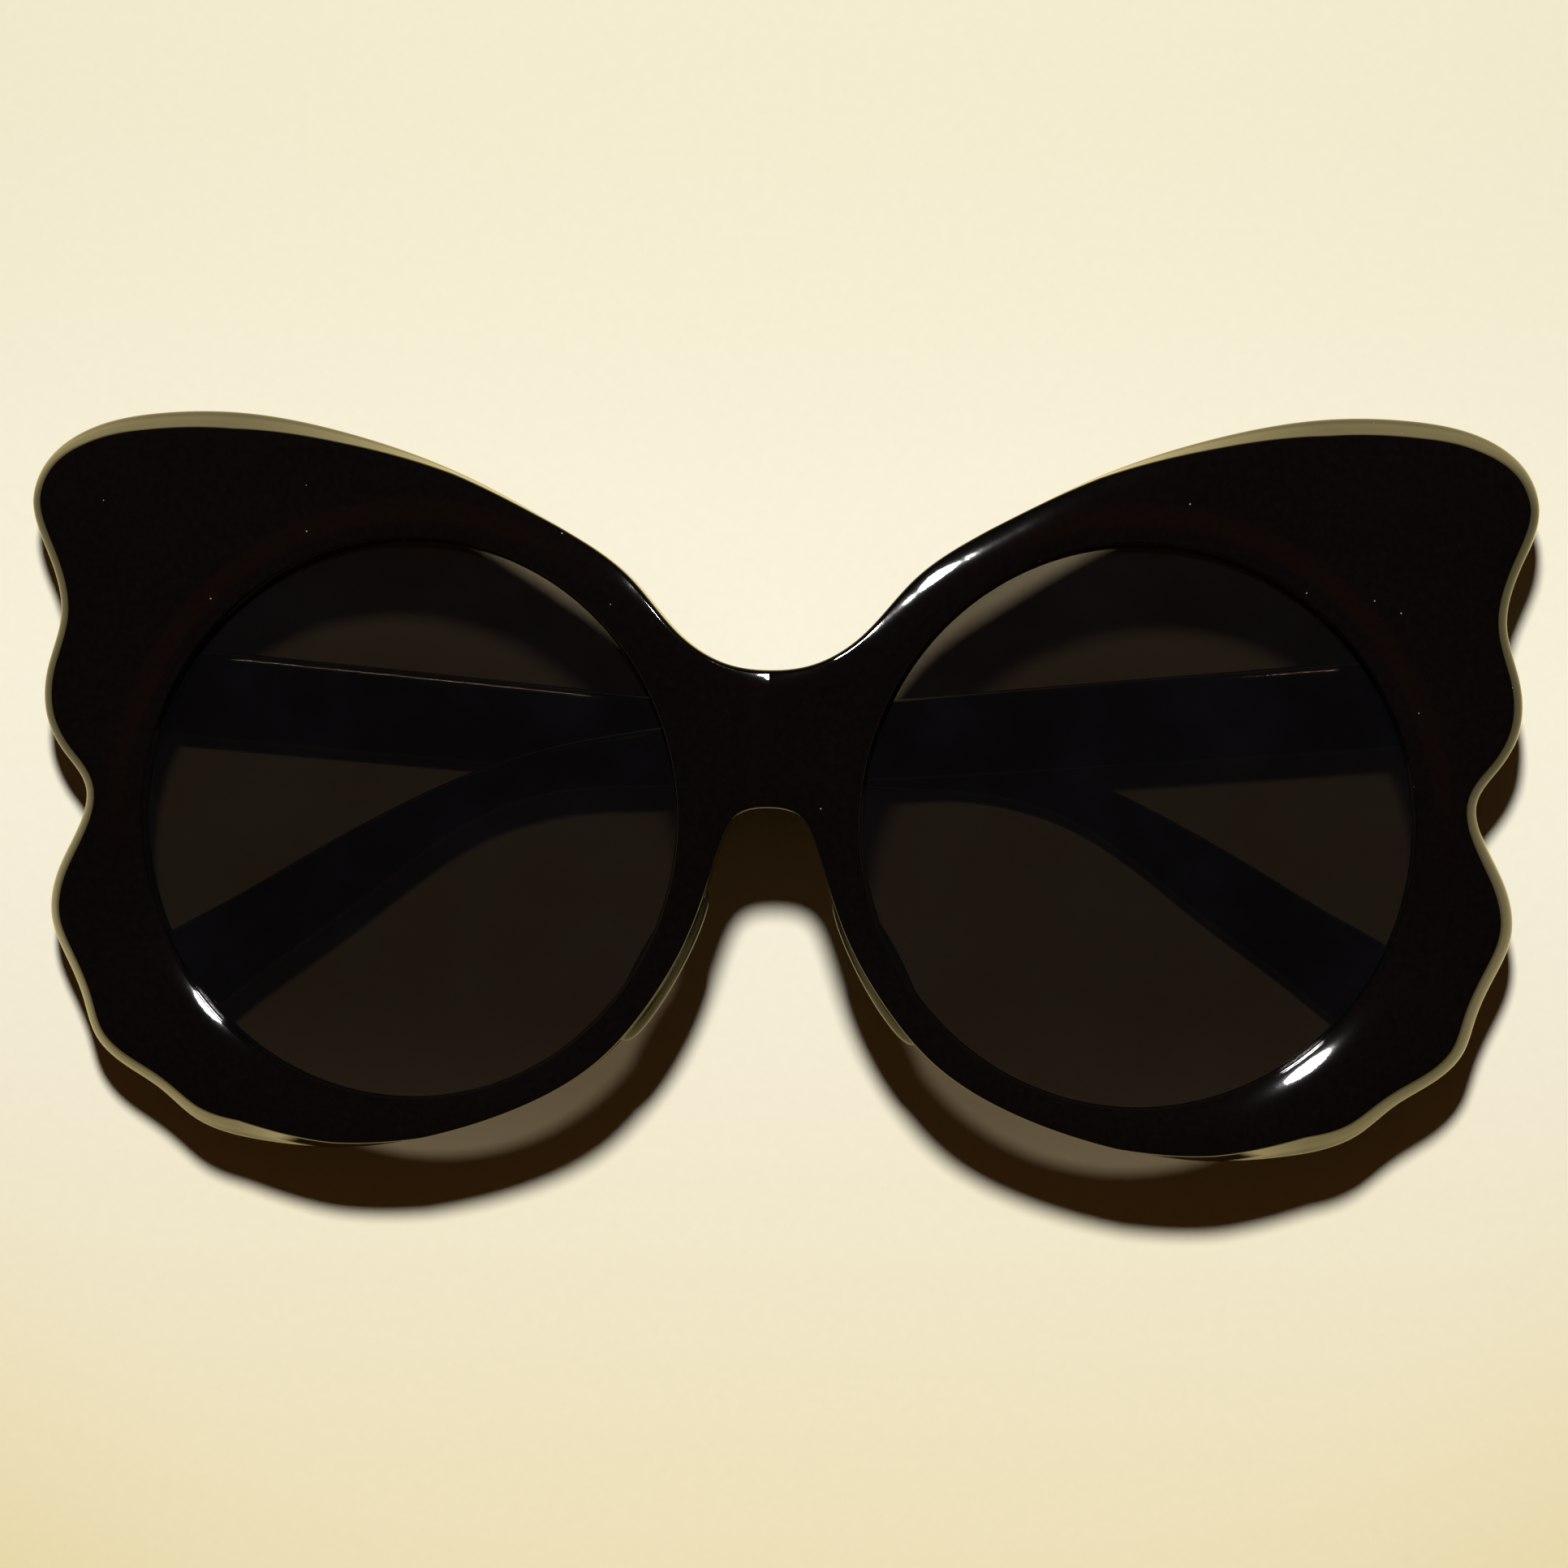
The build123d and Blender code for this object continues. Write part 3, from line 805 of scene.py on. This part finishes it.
def lean_fall(points):
    """How much further the brow falls beside the bridge than a flat wing."""
    x, lean = np.array(BROW_LEAN).T
    fine = np.linspace(0, x[-1], LEAN_PARTS)
    drop = np.cumsum(np.interp(fine, x, lean)) * fine[1]
    drop -= drop[-1] * fine / x[-1]
    low, high = LEAN_HEIGHTS
    share = soft((points[:, 1] / MM - low) / (high - low))
    return np.interp(np.abs(points[:, 0]) / MM, fine, drop) * MM * share


def face_fall(points, line):
    """How far the face falls towards the outline and the lens openings."""
    front = sizes().front
    mirrored = np.vstack([line, (line * (-1, 1))[::-1][1:]])
    far_in, near = distance_to_line(points, mirrored)
    x, roll, radius = np.array(BROW_ROLL).T * MM
    brow = near[:, 1] > 0
    roll = np.where(brow, np.interp(np.abs(near[:, 0]), x, roll), front.edge_roll)
    radius = np.where(brow, np.interp(np.abs(near[:, 0]), x, radius), front.edge_radius)
    edge = np.clip(roll - far_in, 0, None)
    out = points - (front.opening_x, -front.opening_drop)
    far = np.hypot(*out.T)
    ratio = np.hypot(out[:, 0] / front.opening_width, out[:, 1] / front.opening_height)
    start, end = LOW_ROLL_SINES
    low = soft((start - out[:, 1] / far) / (start - end))
    lip_roll = front.lip_roll + (front.low_roll - front.lip_roll) * low
    lip_radius = front.lip_radius + (front.low_radius - front.lip_radius) * low
    lip = np.clip(lip_roll - far * (1 - 1 / ratio), 0, None)
    return edge**2 / 2 / radius + lip**2 / 2 / lip_radius + lean_fall(points)


def front_half():
    """Points and faces of the right half of the moulded front."""
    front = sizes().front
    line, inward, share = outline()
    upright, steep, rounded = (
        finer(wall, STEP_PARTS)[:, None] * MM
        for wall in (UPRIGHT_WALL, SLOPING_WALL, ROUNDED_WALL)
    )
    blend = share[None, :, None]
    wall = upright + (steep - upright) * np.minimum(blend, 1)
    wall = wall + (rounded - steep) * np.maximum(blend - 1, 0)
    wall_xy = line[None] + inward[None] * wall[:, :, :1]
    middle_up = np.linspace(wall_xy[0, -1, 1], wall_xy[0, 0, 1], MIDDLE_POINTS)[1:-1]
    middle = np.stack([np.zeros_like(middle_up), middle_up], 1)
    centre = np.array((front.opening_x, -front.opening_drop))
    half = np.array((front.opening_width, front.opening_height))

    def ring(out, loop):
        aim = (loop - centre) / half
        aim /= np.hypot(*aim.T)[:, None]
        return centre + aim * (half + out)

    top_loop = np.vstack([wall_xy[0], middle])
    lip = np.array(list(finer(LIP, STEP_PARTS)) + GROOVE) * MM
    ledge = GROOVE[0][1] * MM
    spread = 0.5 - 0.5 * np.cos(np.linspace(0, np.pi, FACE_ROWS))
    # The face, from the outline in to the lip
    rows = []
    first = ring(lip[0, 0], top_loop)
    for share_in in spread:
        flat = top_loop + (first - top_loop) * share_in
        rows.append(np.c_[flat, face_fall(flat, line)])
    # The lip and the groove
    fall = rows[-1][:, 2]
    for out, depth in lip[1:]:
        flat = ring(out, top_loop)
        rows.append(np.c_[flat, depth + fall * max(1 - depth / ledge, 0)])
    # The back, from the groove out to the outline
    back_first = rows[-1][:, :2]
    back_loop = np.vstack([wall_xy[-1], middle])
    for share_out in spread[::3][1:-1]:
        flat = back_first + (back_loop - back_first) * share_out
        rows.append(np.c_[flat, np.full(len(flat), front.thickness)])
    rows.append(np.c_[back_loop, np.full(len(back_loop), front.thickness)])
    rows = np.array(rows)
    # The wall, from the face down to the back
    seam_fall = rows[0][: len(line), 2]
    wall_rows = []
    for flat, height in zip(wall_xy, wall[:, :, 1]):
        edge_fall = seam_fall + (face_fall(flat, line) - seam_fall) * np.clip(1 - share, 0, 1)
        depth = front.thickness - height + edge_fall * height / front.thickness
        wall_rows.append(np.c_[flat, depth])
    wall_rows = np.array(wall_rows)
    faces = rows_to_faces(rows)
    faces += rows_to_faces(wall_rows, False, rows.shape[0] * rows.shape[1])
    points = np.vstack([rows.reshape(-1, 3), wall_rows.reshape(-1, 3)])
    points[:, 2] = wrap_height(points[:, 0], points[:, 2])
    return points, faces


def front_shell():
    """The whole moulded front from its right half and the mirrored one."""
    points, faces = front_half()
    other = points * (-1, 1, 1)
    count = len(points)
    faces = faces + [tuple(count + i for i in reversed(face)) for face in faces]
    points = put(np.vstack([points, other]), front_place())
    return mesh_object("moulded_front", points, faces, crease=50)


def end_piece(side):
    """Wedge behind the wing with a flat rear face for the hinge leaf."""
    hinges = sizes().hinges
    line, _, _ = outline()
    low, high = hinges.pin_y - hinges.end_half, hinges.pin_y + hinges.end_half
    outer = line[(line[:, 1] > low) & (line[:, 1] < high) & (line[:, 0] > END_STRETCH * MM)]
    outer = outer - (END_SET_BACK * MM, 0)
    ends = [(outer[0][0], high), (outer[-1][0], low)]
    corner = hinges.end_corner
    ring = [ends[0], *outer, ends[1]]
    for up, start in ((low + corner, -90), (high - corner, 180)):
        for turn in np.radians(np.linspace(start, start - 90, 9)):
            ring.append(
                (
                    hinges.end_inner + corner + corner * math.cos(turn),
                    up + corner * math.sin(turn),
                )
            )
    ring = np.array(ring)
    middle = ring.mean(0)
    reach = ring - middle
    size = np.abs(reach).max(0)
    rows = []
    rear = -hinges.face_behind
    for inset, rise in END_EDGE:
        flat = middle + reach * (1 - inset * MM / size)
        rows.append(np.c_[flat, np.full(len(flat), rear + rise * MM)])
    sunk = sizes().front.thickness - END_SUNK * MM
    rows.append(np.c_[ring, wrap_height(ring[:, 0], sunk)])
    rows = np.array(rows) * (SIDES[side], 1, 1)
    shape = rows.shape
    rows = put(rows.reshape(-1, 3), front_place()).reshape(shape)
    return solid_of_rows("end_piece_" + side, rows, crease=35)


def temple_line(reach):
    """Height under the pin and slope of the temple's middle line."""
    temples = sizes().temples
    start, end = temples.slope, temples.ear_slope
    drop = -math.tan(start) * temples.bend_start
    if reach <= temples.bend_start:
        return -math.tan(start) * reach, start
    turn_reach = temples.bend_start - temples.bend_radius * math.sin(start)
    turn_height = drop - temples.bend_radius * math.cos(start)
    bend_end = turn_reach + temples.bend_radius * math.sin(end)
    if reach <= bend_end:
        slope = math.asin((reach - turn_reach) / temples.bend_radius)
        return turn_height + temples.bend_radius * math.cos(slope), slope
    height = turn_height + temples.bend_radius * math.cos(end)
    return height - math.tan(end) * (reach - bend_end), end


def temple_ring(inset, depth, front_inset):
    """Side view of the temple at one depth: reach, height and depth."""
    temples = sizes().temples
    tops, lows = [], []
    start = (TEMPLE_START + TEMPLE_START_LEAN * depth / MM) * MM + front_inset
    corner = TEMPLE_CORNER * MM
    for reach_share, width_share in TEMPLE_WIDTHS:
        reach = max(reach_share * temples.reach, start)
        height, slope = temple_line(reach)
        half = width_share * temples.width / 2 - inset
        across = half * math.sin(slope)
        tops.append((reach + across, height + half * math.cos(slope)))
        lows.append((reach - across, height - half * math.cos(slope)))
    fall = math.tan(temples.slope)
    begin = start + corner
    tops[0] = (begin, tops[0][1] - fall * (begin - tops[0][0]))
    lows[0] = (begin, lows[0][1] - fall * (begin - lows[0][0]))
    tip = []
    for turn in np.radians(TIP_TURNS) - slope:
        tip.append((reach + half * math.cos(turn), height + half * math.sin(turn)))
    body = even_points(tops + tip + lows[::-1], TEMPLE_POINTS)
    top, low = body[0], body[-1]
    corners = []
    for turns, up, side in ((CORNER_TURNS[::-1], low[1], 1), (CORNER_TURNS, top[1], -1)):
        for turn in np.radians(turns):
            across = begin - corner * math.cos(turn)
            corners.append((across, up + side * corner * (1 - math.sin(turn))))
    ring = np.vstack([body, corners])
    thinning = (temples.thickness - temples.tip_thickness) / temples.reach
    lie = depth - thinning * ring[:, 0] * depth / temples.thickness
    return np.c_[ring, lie]


def temple(side):
    """A moulded temple with bevelled long edges and a wide ear paddle."""
    temples = sizes().temples
    edge, thick = temples.edge / MM, temples.thickness / MM
    profile = (
        (2.20, 0), (1.60, 0), (1.30, 0.002), (1.10, 0.010), (0.90, 0.028), (0.75, 0.050),
        (0.60, 0.080), (0.48, 0.115), (0.36, 0.170), (0.24, 0.27), (0.12, 0.46),
        (0.03, 0.76), (0, 1.00), (0, thick - edge - 0.05), (0.03, thick - edge + 0.08),
        (0.12, thick - edge + 0.20), (edge - 0.20, thick - 0.12), (edge - 0.10, thick - 0.03),
        (edge, thick), (edge + 0.35, thick),
    )
    rows = np.array([
        temple_ring(inset * MM, depth * MM, min(inset, TEMPLE_END_ROLL) * MM)
        for inset, depth in profile
    ])
    reach, height, depth = rows[..., 0], rows[..., 1], rows[..., 2]
    across = (temples.pin_to_face + depth) * SIDES[side]
    drawn = np.stack([across, height, -reach], -1)
    placed = put(drawn.reshape(-1, 3), temple_place(side)).reshape(drawn.shape)
    return solid_of_rows("temple_bar_" + side, placed, crease=35)


def nose_pad(side):
    """Rounded oval pad on the nose side of the rim."""
    pads = sizes().pads
    rows = []
    half = pads.thickness / 2
    quarter = 9
    steps = np.radians(np.linspace(0, 90, quarter))
    round_up = [(1 - math.sin(turn), 1 - math.cos(turn)) for turn in steps]
    profile = [(pads.rounding * inset, -half + pads.rounding * rise) for inset, rise in round_up]
    upright = np.linspace(-half + pads.rounding, half - pads.rounding, 5)[1:-1]
    profile += [(0, level) for level in upright]
    profile += [(inset, -level) for inset, level in profile[:quarter][::-1]]
    around = np.linspace(0, 2 * np.pi, PAD_POINTS + 1)[:-1]
    for inset, level in profile:
        wide, tall = pads.length / 2 - inset, pads.width / 2 - inset
        rows.append(
            np.stack([wide * np.cos(around), tall * np.sin(around), np.full(PAD_POINTS, level)], 1)
        )
    for scale in (0.8, 0.6, 0.4, 0.2):
        smaller = scale / (scale + 0.2)
        rows.insert(0, rows[0] * (smaller, smaller, 1))
        rows.append(rows[-1] * (smaller, smaller, 1))
    turn = Matrix.Rotation(-pads.lean, 4, "Z") @ Matrix.Rotation(-pads.splay, 4, "X")
    behind = float(wing_fall(pads.across))
    place = Matrix.Translation((pads.across, -pads.drop, -behind)) @ turn
    shape = np.array(rows).shape
    points = put(np.array(rows).reshape(-1, 3), place)
    points = seated(points)
    points = put(points * (SIDES[side], 1, 1), front_place())
    return solid_of_rows("nose_pad_body_" + side, points.reshape(shape), crease=60)


def seated(points):
    """Moves what would be inside the front to its nearest surface."""
    line, inward, _ = outline()
    thickness = sizes().front.thickness
    back = wrap_height(points[:, 0], thickness)
    near = ((points[:, None, :2] - line[None]) ** 2).sum(2).argmin(1)
    deep = ((points[:, :2] - line[near]) * inward[near]).sum(1)
    rise = points[:, 2] - back
    inside = (deep > 0) & (rise > 0)
    down = inside & (rise <= deep)
    aside = inside & ~down
    points[down, 2] = back[down]
    points[aside, :2] -= inward[near[aside]] * deep[aside, None]
    return points


# Geometry nodes


def new_tree(name, inputs):
    """A geometry tree with named inputs, and the sockets of its input node by name."""
    group = bpy.data.node_groups.new(name, "GeometryNodeTree")
    group.interface.new_socket("Geometry", in_out="INPUT", socket_type="NodeSocketGeometry")
    for label, kind in inputs:
        group.interface.new_socket(label, in_out="INPUT", socket_type=kind)
    group.interface.new_socket("Geometry", in_out="OUTPUT", socket_type="NodeSocketGeometry")
    tree = Tree(group)
    start = tree.add("NodeGroupInput", out=None)
    given = {socket.name: Number(tree, socket) for socket in start.outputs if socket.name}
    return tree, given


def finish_tree(tree, shape, material):
    """Ends a tree in Realize Instances and Set Material."""
    real = tree.add("GeometryNodeRealizeInstances", {}, {"Geometry": shape})
    smooth = tree.add("GeometryNodeSetShadeSmooth", {}, {"Geometry": real})
    done = tree.add("GeometryNodeSetMaterial", {}, {"Geometry": smooth, "Material": material})
    end = tree.add("NodeGroupOutput", out=None)
    tree.feed(end.inputs[0], done)
    return tree.tree


def baked(name, group, values, crease):
    """Runs a geometry tree once and keeps its result as a plain mesh."""
    holder = bpy.data.objects.new(name, bpy.data.meshes.new(name + "_start"))
    bpy.context.scene.collection.objects.link(holder)
    modifier = holder.modifiers.new(name, "NODES")
    modifier.node_group = group
    for item in group.interface.items_tree:
        if item.in_out == "INPUT" and item.name in values:
            modifier[item.identifier] = values[item.name]
    bpy.context.view_layer.update()
    shape = holder.evaluated_get(bpy.context.evaluated_depsgraph_get())
    mesh = bpy.data.meshes.new_from_object(shape)
    holder.modifiers.clear()
    holder.data = mesh
    mesh.name = name
    cleaned(mesh, merge=0.0005, smallest=0.0002, crease=crease)
    return holder


def lens_tree(material):
    """An oval lens that leans with its wing and bulges a little."""
    number, whole = "NodeSocketFloat", "NodeSocketInt"
    tree, given = new_tree(
        "leaning_lens",
        [
            ("Across", number), ("Up", number), ("Half width", number),
            ("Half height", number), ("Level", number), ("Slope", number), ("Crown", number),
            ("Thickness", number), ("Rings", whole),
            ("Place", "NodeSocketVector"), ("Turn", "NodeSocketVector"),
        ],
    )
    disc = tree.add(
        "GeometryNodeMeshCylinder",
        {"fill_type": "TRIANGLE_FAN"},
        {
            "Vertices": LENS_POINTS,
            "Fill Segments": given["Rings"],
            "Radius": 1.0,
            "Depth": 2.0,
        },
    )
    x, y, z = tree.parts(tree.add("GeometryNodeInputPosition"))
    across = given["Across"] + x * given["Half width"]
    up = given["Up"] + y * given["Half height"]
    under = given["Thickness"] * (0.5 - z * 0.5)
    bulge = given["Crown"] * (1 - x * x - y * y)
    height = given["Level"] - given["Slope"] * across - under + bulge
    where = tree.add("ShaderNodeCombineXYZ", {}, {"X": across, "Y": up, "Z": height})
    moved = tree.add("GeometryNodeSetPosition", {}, {"Geometry": disc, "Position": where})
    placed = tree.add(
        "GeometryNodeTransform",
        {},
        {"Geometry": moved, "Translation": given["Place"], "Rotation": given["Turn"]},
    )
    return finish_tree(tree, placed, material)


def rivet_tree(material):
    """Two domed rivets with shafts, one at each of two places."""
    number, arrow = "NodeSocketFloat", "NodeSocketVector"
    tree, given = new_tree(
        "domed_rivets",
        [
            ("Head radius", number), ("Head height", number), ("Shaft radius", number),
            ("Shaft length", number), ("First", arrow), ("Second", arrow), ("Turn", arrow),
        ],
    )
    ball = tree.add("GeometryNodeMeshUVSphere", {}, {"Segments": 40, "Rings": 20, "Radius": 1.0})
    x, y, z = tree.parts(tree.add("GeometryNodeInputPosition"))
    dome = tree.add(
        "ShaderNodeCombineXYZ",
        {},
        {
            "X": x * given["Head radius"],
            "Y": y * given["Head radius"],
            "Z": tree.maths("MAXIMUM", z, 0) * given["Head height"],
        },
    )
    head = tree.add("GeometryNodeSetPosition", {}, {"Geometry": ball, "Position": dome})
    shaft = tree.add(
        "GeometryNodeMeshCylinder",
        {},
        {"Vertices": 32, "Radius": given["Shaft radius"], "Depth": given["Shaft length"]},
    )
    down = tree.add("ShaderNodeCombineXYZ", {}, {"Z": given["Shaft length"] * -0.5})
    shaft = tree.add("GeometryNodeTransform", {}, {"Geometry": shaft, "Translation": down})
    both = tree.add("GeometryNodeJoinGeometry", out=None)
    tree.feed(both.inputs[0], shaft)
    tree.feed(both.inputs[0], head)
    spots = tree.add(
        "GeometryNodeMeshLine",
        {"mode": "END_POINTS"},
        {"Count": 2, "Start Location": given["First"], "Offset": given["Second"]},
    )
    rivets = tree.add(
        "GeometryNodeInstanceOnPoints",
        {},
        {"Points": spots, "Instance": both.outputs[0], "Rotation": given["Turn"]},
    )
    return finish_tree(tree, rivets, material)


# Operators


class MakeFront(bpy.types.Operator):
    """Makes the moulded butterfly front"""

    bl_idname = "sunglasses.front"
    bl_label = "Moulded front"

    def execute(self, context):
        finish = gloss_plastic("front_moulded_black", sizes().finishes.front)
        dress(front_shell(), finish, "front", "front", "frame_front")
        for side in SIDES:
            dress(end_piece(side), finish, "front", "front")
        return {"FINISHED"}


class MakeLenses(bpy.types.Operator):
    """Makes the two tinted lenses"""

    bl_idname = "sunglasses.lenses"
    bl_label = "Lenses"

    def execute(self, context):
        front, lens = sizes().front, sizes().lens
        finish = lens_tint()
        tree = lens_tree(finish)
        place = front_place()
        slope = math.tan(front.wing_slope)
        level = float(wrap_height(front.opening_x, lens.depth)) + slope * front.opening_x
        for side, sign in SIDES.items():
            piece = baked(
                "lens_" + side + "_tinted",
                tree,
                {
                    "Across": front.opening_x * sign,
                    "Up": -front.opening_drop,
                    "Half width": front.opening_width + lens.tuck,
                    "Half height": front.opening_height + lens.tuck,
                    "Level": level,
                    "Slope": slope * sign,
                    "Crown": lens.crown,
                    "Thickness": lens.thickness,
                    "Rings": lens.rings,
                    "Place": place.translation,
                    "Turn": Vector(place.to_euler()),
                },
                crease=40,
            )
            dress(piece, finish, "front", "lens", "lens_" + side)
        return {"FINISHED"}


class MakePads(bpy.types.Operator):
    """Makes the two nose pads"""

    bl_idname = "sunglasses.pads"
    bl_label = "Nose pads"

    def execute(self, context):
        finish = pad_plastic()
        for side in SIDES:
            dress(nose_pad(side), finish, "front", "nose_pad", "nose_pad_" + side)
        return {"FINISHED"}


class MakeTemples(bpy.types.Operator):
    """Makes the two folded temples"""

    bl_idname = "sunglasses.temples"
    bl_label = "Temples"

    def execute(self, context):
        finish = temple_plastic()
        for side in SIDES:
            dress(temple(side), finish, side + "_temple", "temple", "temple_" + side)
        return {"FINISHED"}


class MakeRivets(bpy.types.Operator):
    """Makes the rivets of the four hinge leaves"""

    bl_idname = "sunglasses.rivets"
    bl_label = "Rivets"

    def execute(self, context):
        hinges, temples = sizes().hinges, sizes().temples
        finish = brushed_steel("rivet_steel", sizes().finishes.hinge, True)
        tree = rivet_tree(finish)
        fixed = {
            "Head radius": hinges.head_radius,
            "Head height": hinges.head_height,
            "Shaft radius": hinges.shaft_radius,
            "Shaft length": hinges.shaft_length,
        }
        for side, sign in SIDES.items():
            face = -hinges.face_behind - hinges.leaf_rise
            across, apart = hinges.pin_x - hinges.rivet_reach, hinges.rivet_apart
            spots = [
                Vector((sign * across, hinges.pin_y + up, face)) for up in (-apart, apart)
            ]
            place = front_place()
            turn = place @ Matrix.Rotation(math.pi, 4, "X")
            self.rivet_pair("front", side, tree, finish, fixed, place, turn, spots, "front")
            place = temple_place(side)
            face = (temples.pin_to_face - hinges.leaf_rise) * sign
            spots = [Vector((face, up, -hinges.rivet_reach)) for up in (-apart, apart)]
            turn = place @ Matrix.Rotation(-sign * math.pi / 2, 4, "Y")
            body = side + "_temple"
            self.rivet_pair("temple", side, tree, finish, fixed, place, turn, spots, body)
        return {"FINISHED"}

    def rivet_pair(self, kind, side, tree, finish, fixed, place, turn, spots, body):
        values = dict(fixed)
        values["First"], values["Second"] = (place @ spot for spot in spots)
        values["Turn"] = Vector(turn.to_euler())
        piece = baked(f"{kind}_rivet_pair_{side}", tree, values, crease=50)
        dress(piece, finish, body, "hinge_metal", f"{kind}_rivets_{side}")


class FinishHinges(bpy.types.Operator):
    """Gives the hinge leaves and screws their steel"""

    bl_idname = "sunglasses.hinges"
    bl_label = "Hinge steel"

    def execute(self, context):
        leaf = brushed_steel("hinge_leaf_steel", sizes().finishes.hinge, False)
        screw = brushed_steel("hinge_screw_steel", sizes().finishes.screw, True)
        for side in SIDES:
            for name in ("front_hinge_leaf_", "temple_hinge_leaf_"):
                frame["nodes"][name + side].material_slots[0].material = leaf
            frame["nodes"]["hinge_screw_" + side].material_slots[0].material = screw
        return {"FINISHED"}


class MakeStage(bpy.types.Operator):
    """Makes the paper, the lamp, the room and the camera"""

    bl_idname = "sunglasses.stage"
    bl_label = "Stage"

    def execute(self, context):
        stage = sizes().stage
        corners = ((-1, -1), (1, -1), (1, 1), (-1, 1))
        mesh = bpy.data.meshes.new("paper")
        points = [(x * stage.floor, y * stage.floor, 0) for x, y in corners]
        mesh.from_pydata(points, [], [range(4)])
        floor = bpy.data.objects.new("paper", mesh)
        mesh.materials.append(paper())
        bpy.context.scene.collection.objects.link(floor)
        self.lamp(stage)
        self.room()
        self.camera(stage)
        scene = context.scene
        scene.view_settings.view_transform = "Standard"
        return {"FINISHED"}

    def lamp(self, stage):
        light = bpy.data.lights.new("key_lamp", "AREA")
        light.shape = "DISK"
        light.size = stage.lamp_width
        light.energy = stage.lamp_power
        light.color = stage.lamp_tint
        lamp = bpy.data.objects.new("key_lamp", light)
        place = Vector((0, stage.lamp_behind, stage.lamp_height))
        turn = place.to_track_quat("Z", "Y").to_matrix().to_4x4()
        lamp.matrix_world = Matrix.Translation(place) @ turn
        bpy.context.scene.collection.objects.link(lamp)

    def room(self):
        world = bpy.data.worlds.new("room")
        bpy.context.scene.world = world
        world.use_nodes = True
        tree = Tree(world.node_tree)
        world.node_tree.nodes.clear()
        seen = tree.add("ShaderNodeLightPath", {}, {}, "Is Camera Ray")
        dim, pale = (
            tree.add("ShaderNodeBackground", {}, {"Color": tint, "Strength": strength})
            for tint, strength in (((1.0, 0.44, 0.13), 0.026), ((0.93, 0.91, 0.86), 1.0))
        )
        both = tree.add("ShaderNodeMixShader", {}, {0: seen, 1: dim, 2: pale})
        tree.add("ShaderNodeOutputWorld", {}, {"Surface": both}, None)

    def camera(self, stage):
        place = Vector((stage.camera_x, stage.camera_y, stage.camera_z))
        ahead = (Vector((stage.aim_x, stage.aim_y, stage.aim_z)) - place).normalized()
        up = Vector((math.sin(stage.roll), math.cos(stage.roll), 0))
        right = ahead.cross(up).normalized()
        up = right.cross(ahead)
        lens = bpy.data.cameras.new("camera")
        lens.lens = stage.focal
        lens.sensor_width = 36
        lens.clip_start, lens.clip_end = 0.01, 20
        camera = bpy.data.objects.new("camera", lens)
        turn = Matrix((right, up, -ahead)).transposed().to_4x4()
        camera.matrix_world = Matrix.Translation(place) @ turn
        bpy.context.scene.collection.objects.link(camera)
        bpy.context.scene.camera = camera


OPERATORS = (MakeFront, MakeLenses, MakePads, MakeTemples, MakeRivets, FinishHinges, MakeStage)


class SunglassesPanel(bpy.types.Panel):
    """Lists the steps that make the sunglasses"""

    bl_idname = "VIEW3D_PT_sunglasses"
    bl_label = "Butterfly sunglasses"
    bl_space_type = "VIEW_3D"
    bl_region_type = "UI"
    bl_category = "Sunglasses"

    def draw(self, context):
        for operator in OPERATORS:
            self.layout.operator(operator.bl_idname)


CLASSES = (
    FrontSizes, LensSizes, PadSizes, TempleSizes, HingeSizes, Finishes, StageSizes, Sunglasses,
    *OPERATORS, SunglassesPanel,
)


def register():
    for kind in CLASSES:
        bpy.utils.register_class(kind)
    bpy.types.Scene.sunglasses = bpy.props.PointerProperty(type=Sunglasses)


def unregister():
    del bpy.types.Scene.sunglasses
    for kind in reversed(CLASSES):
        bpy.utils.unregister_class(kind)


def main():
    register()
    for operator in OPERATORS:
        step = operator.bl_idname.split(".")[1]
        getattr(bpy.ops.sunglasses, step)()
    bpy.context.view_layer.update()


if __name__ == "__main__":
    main()
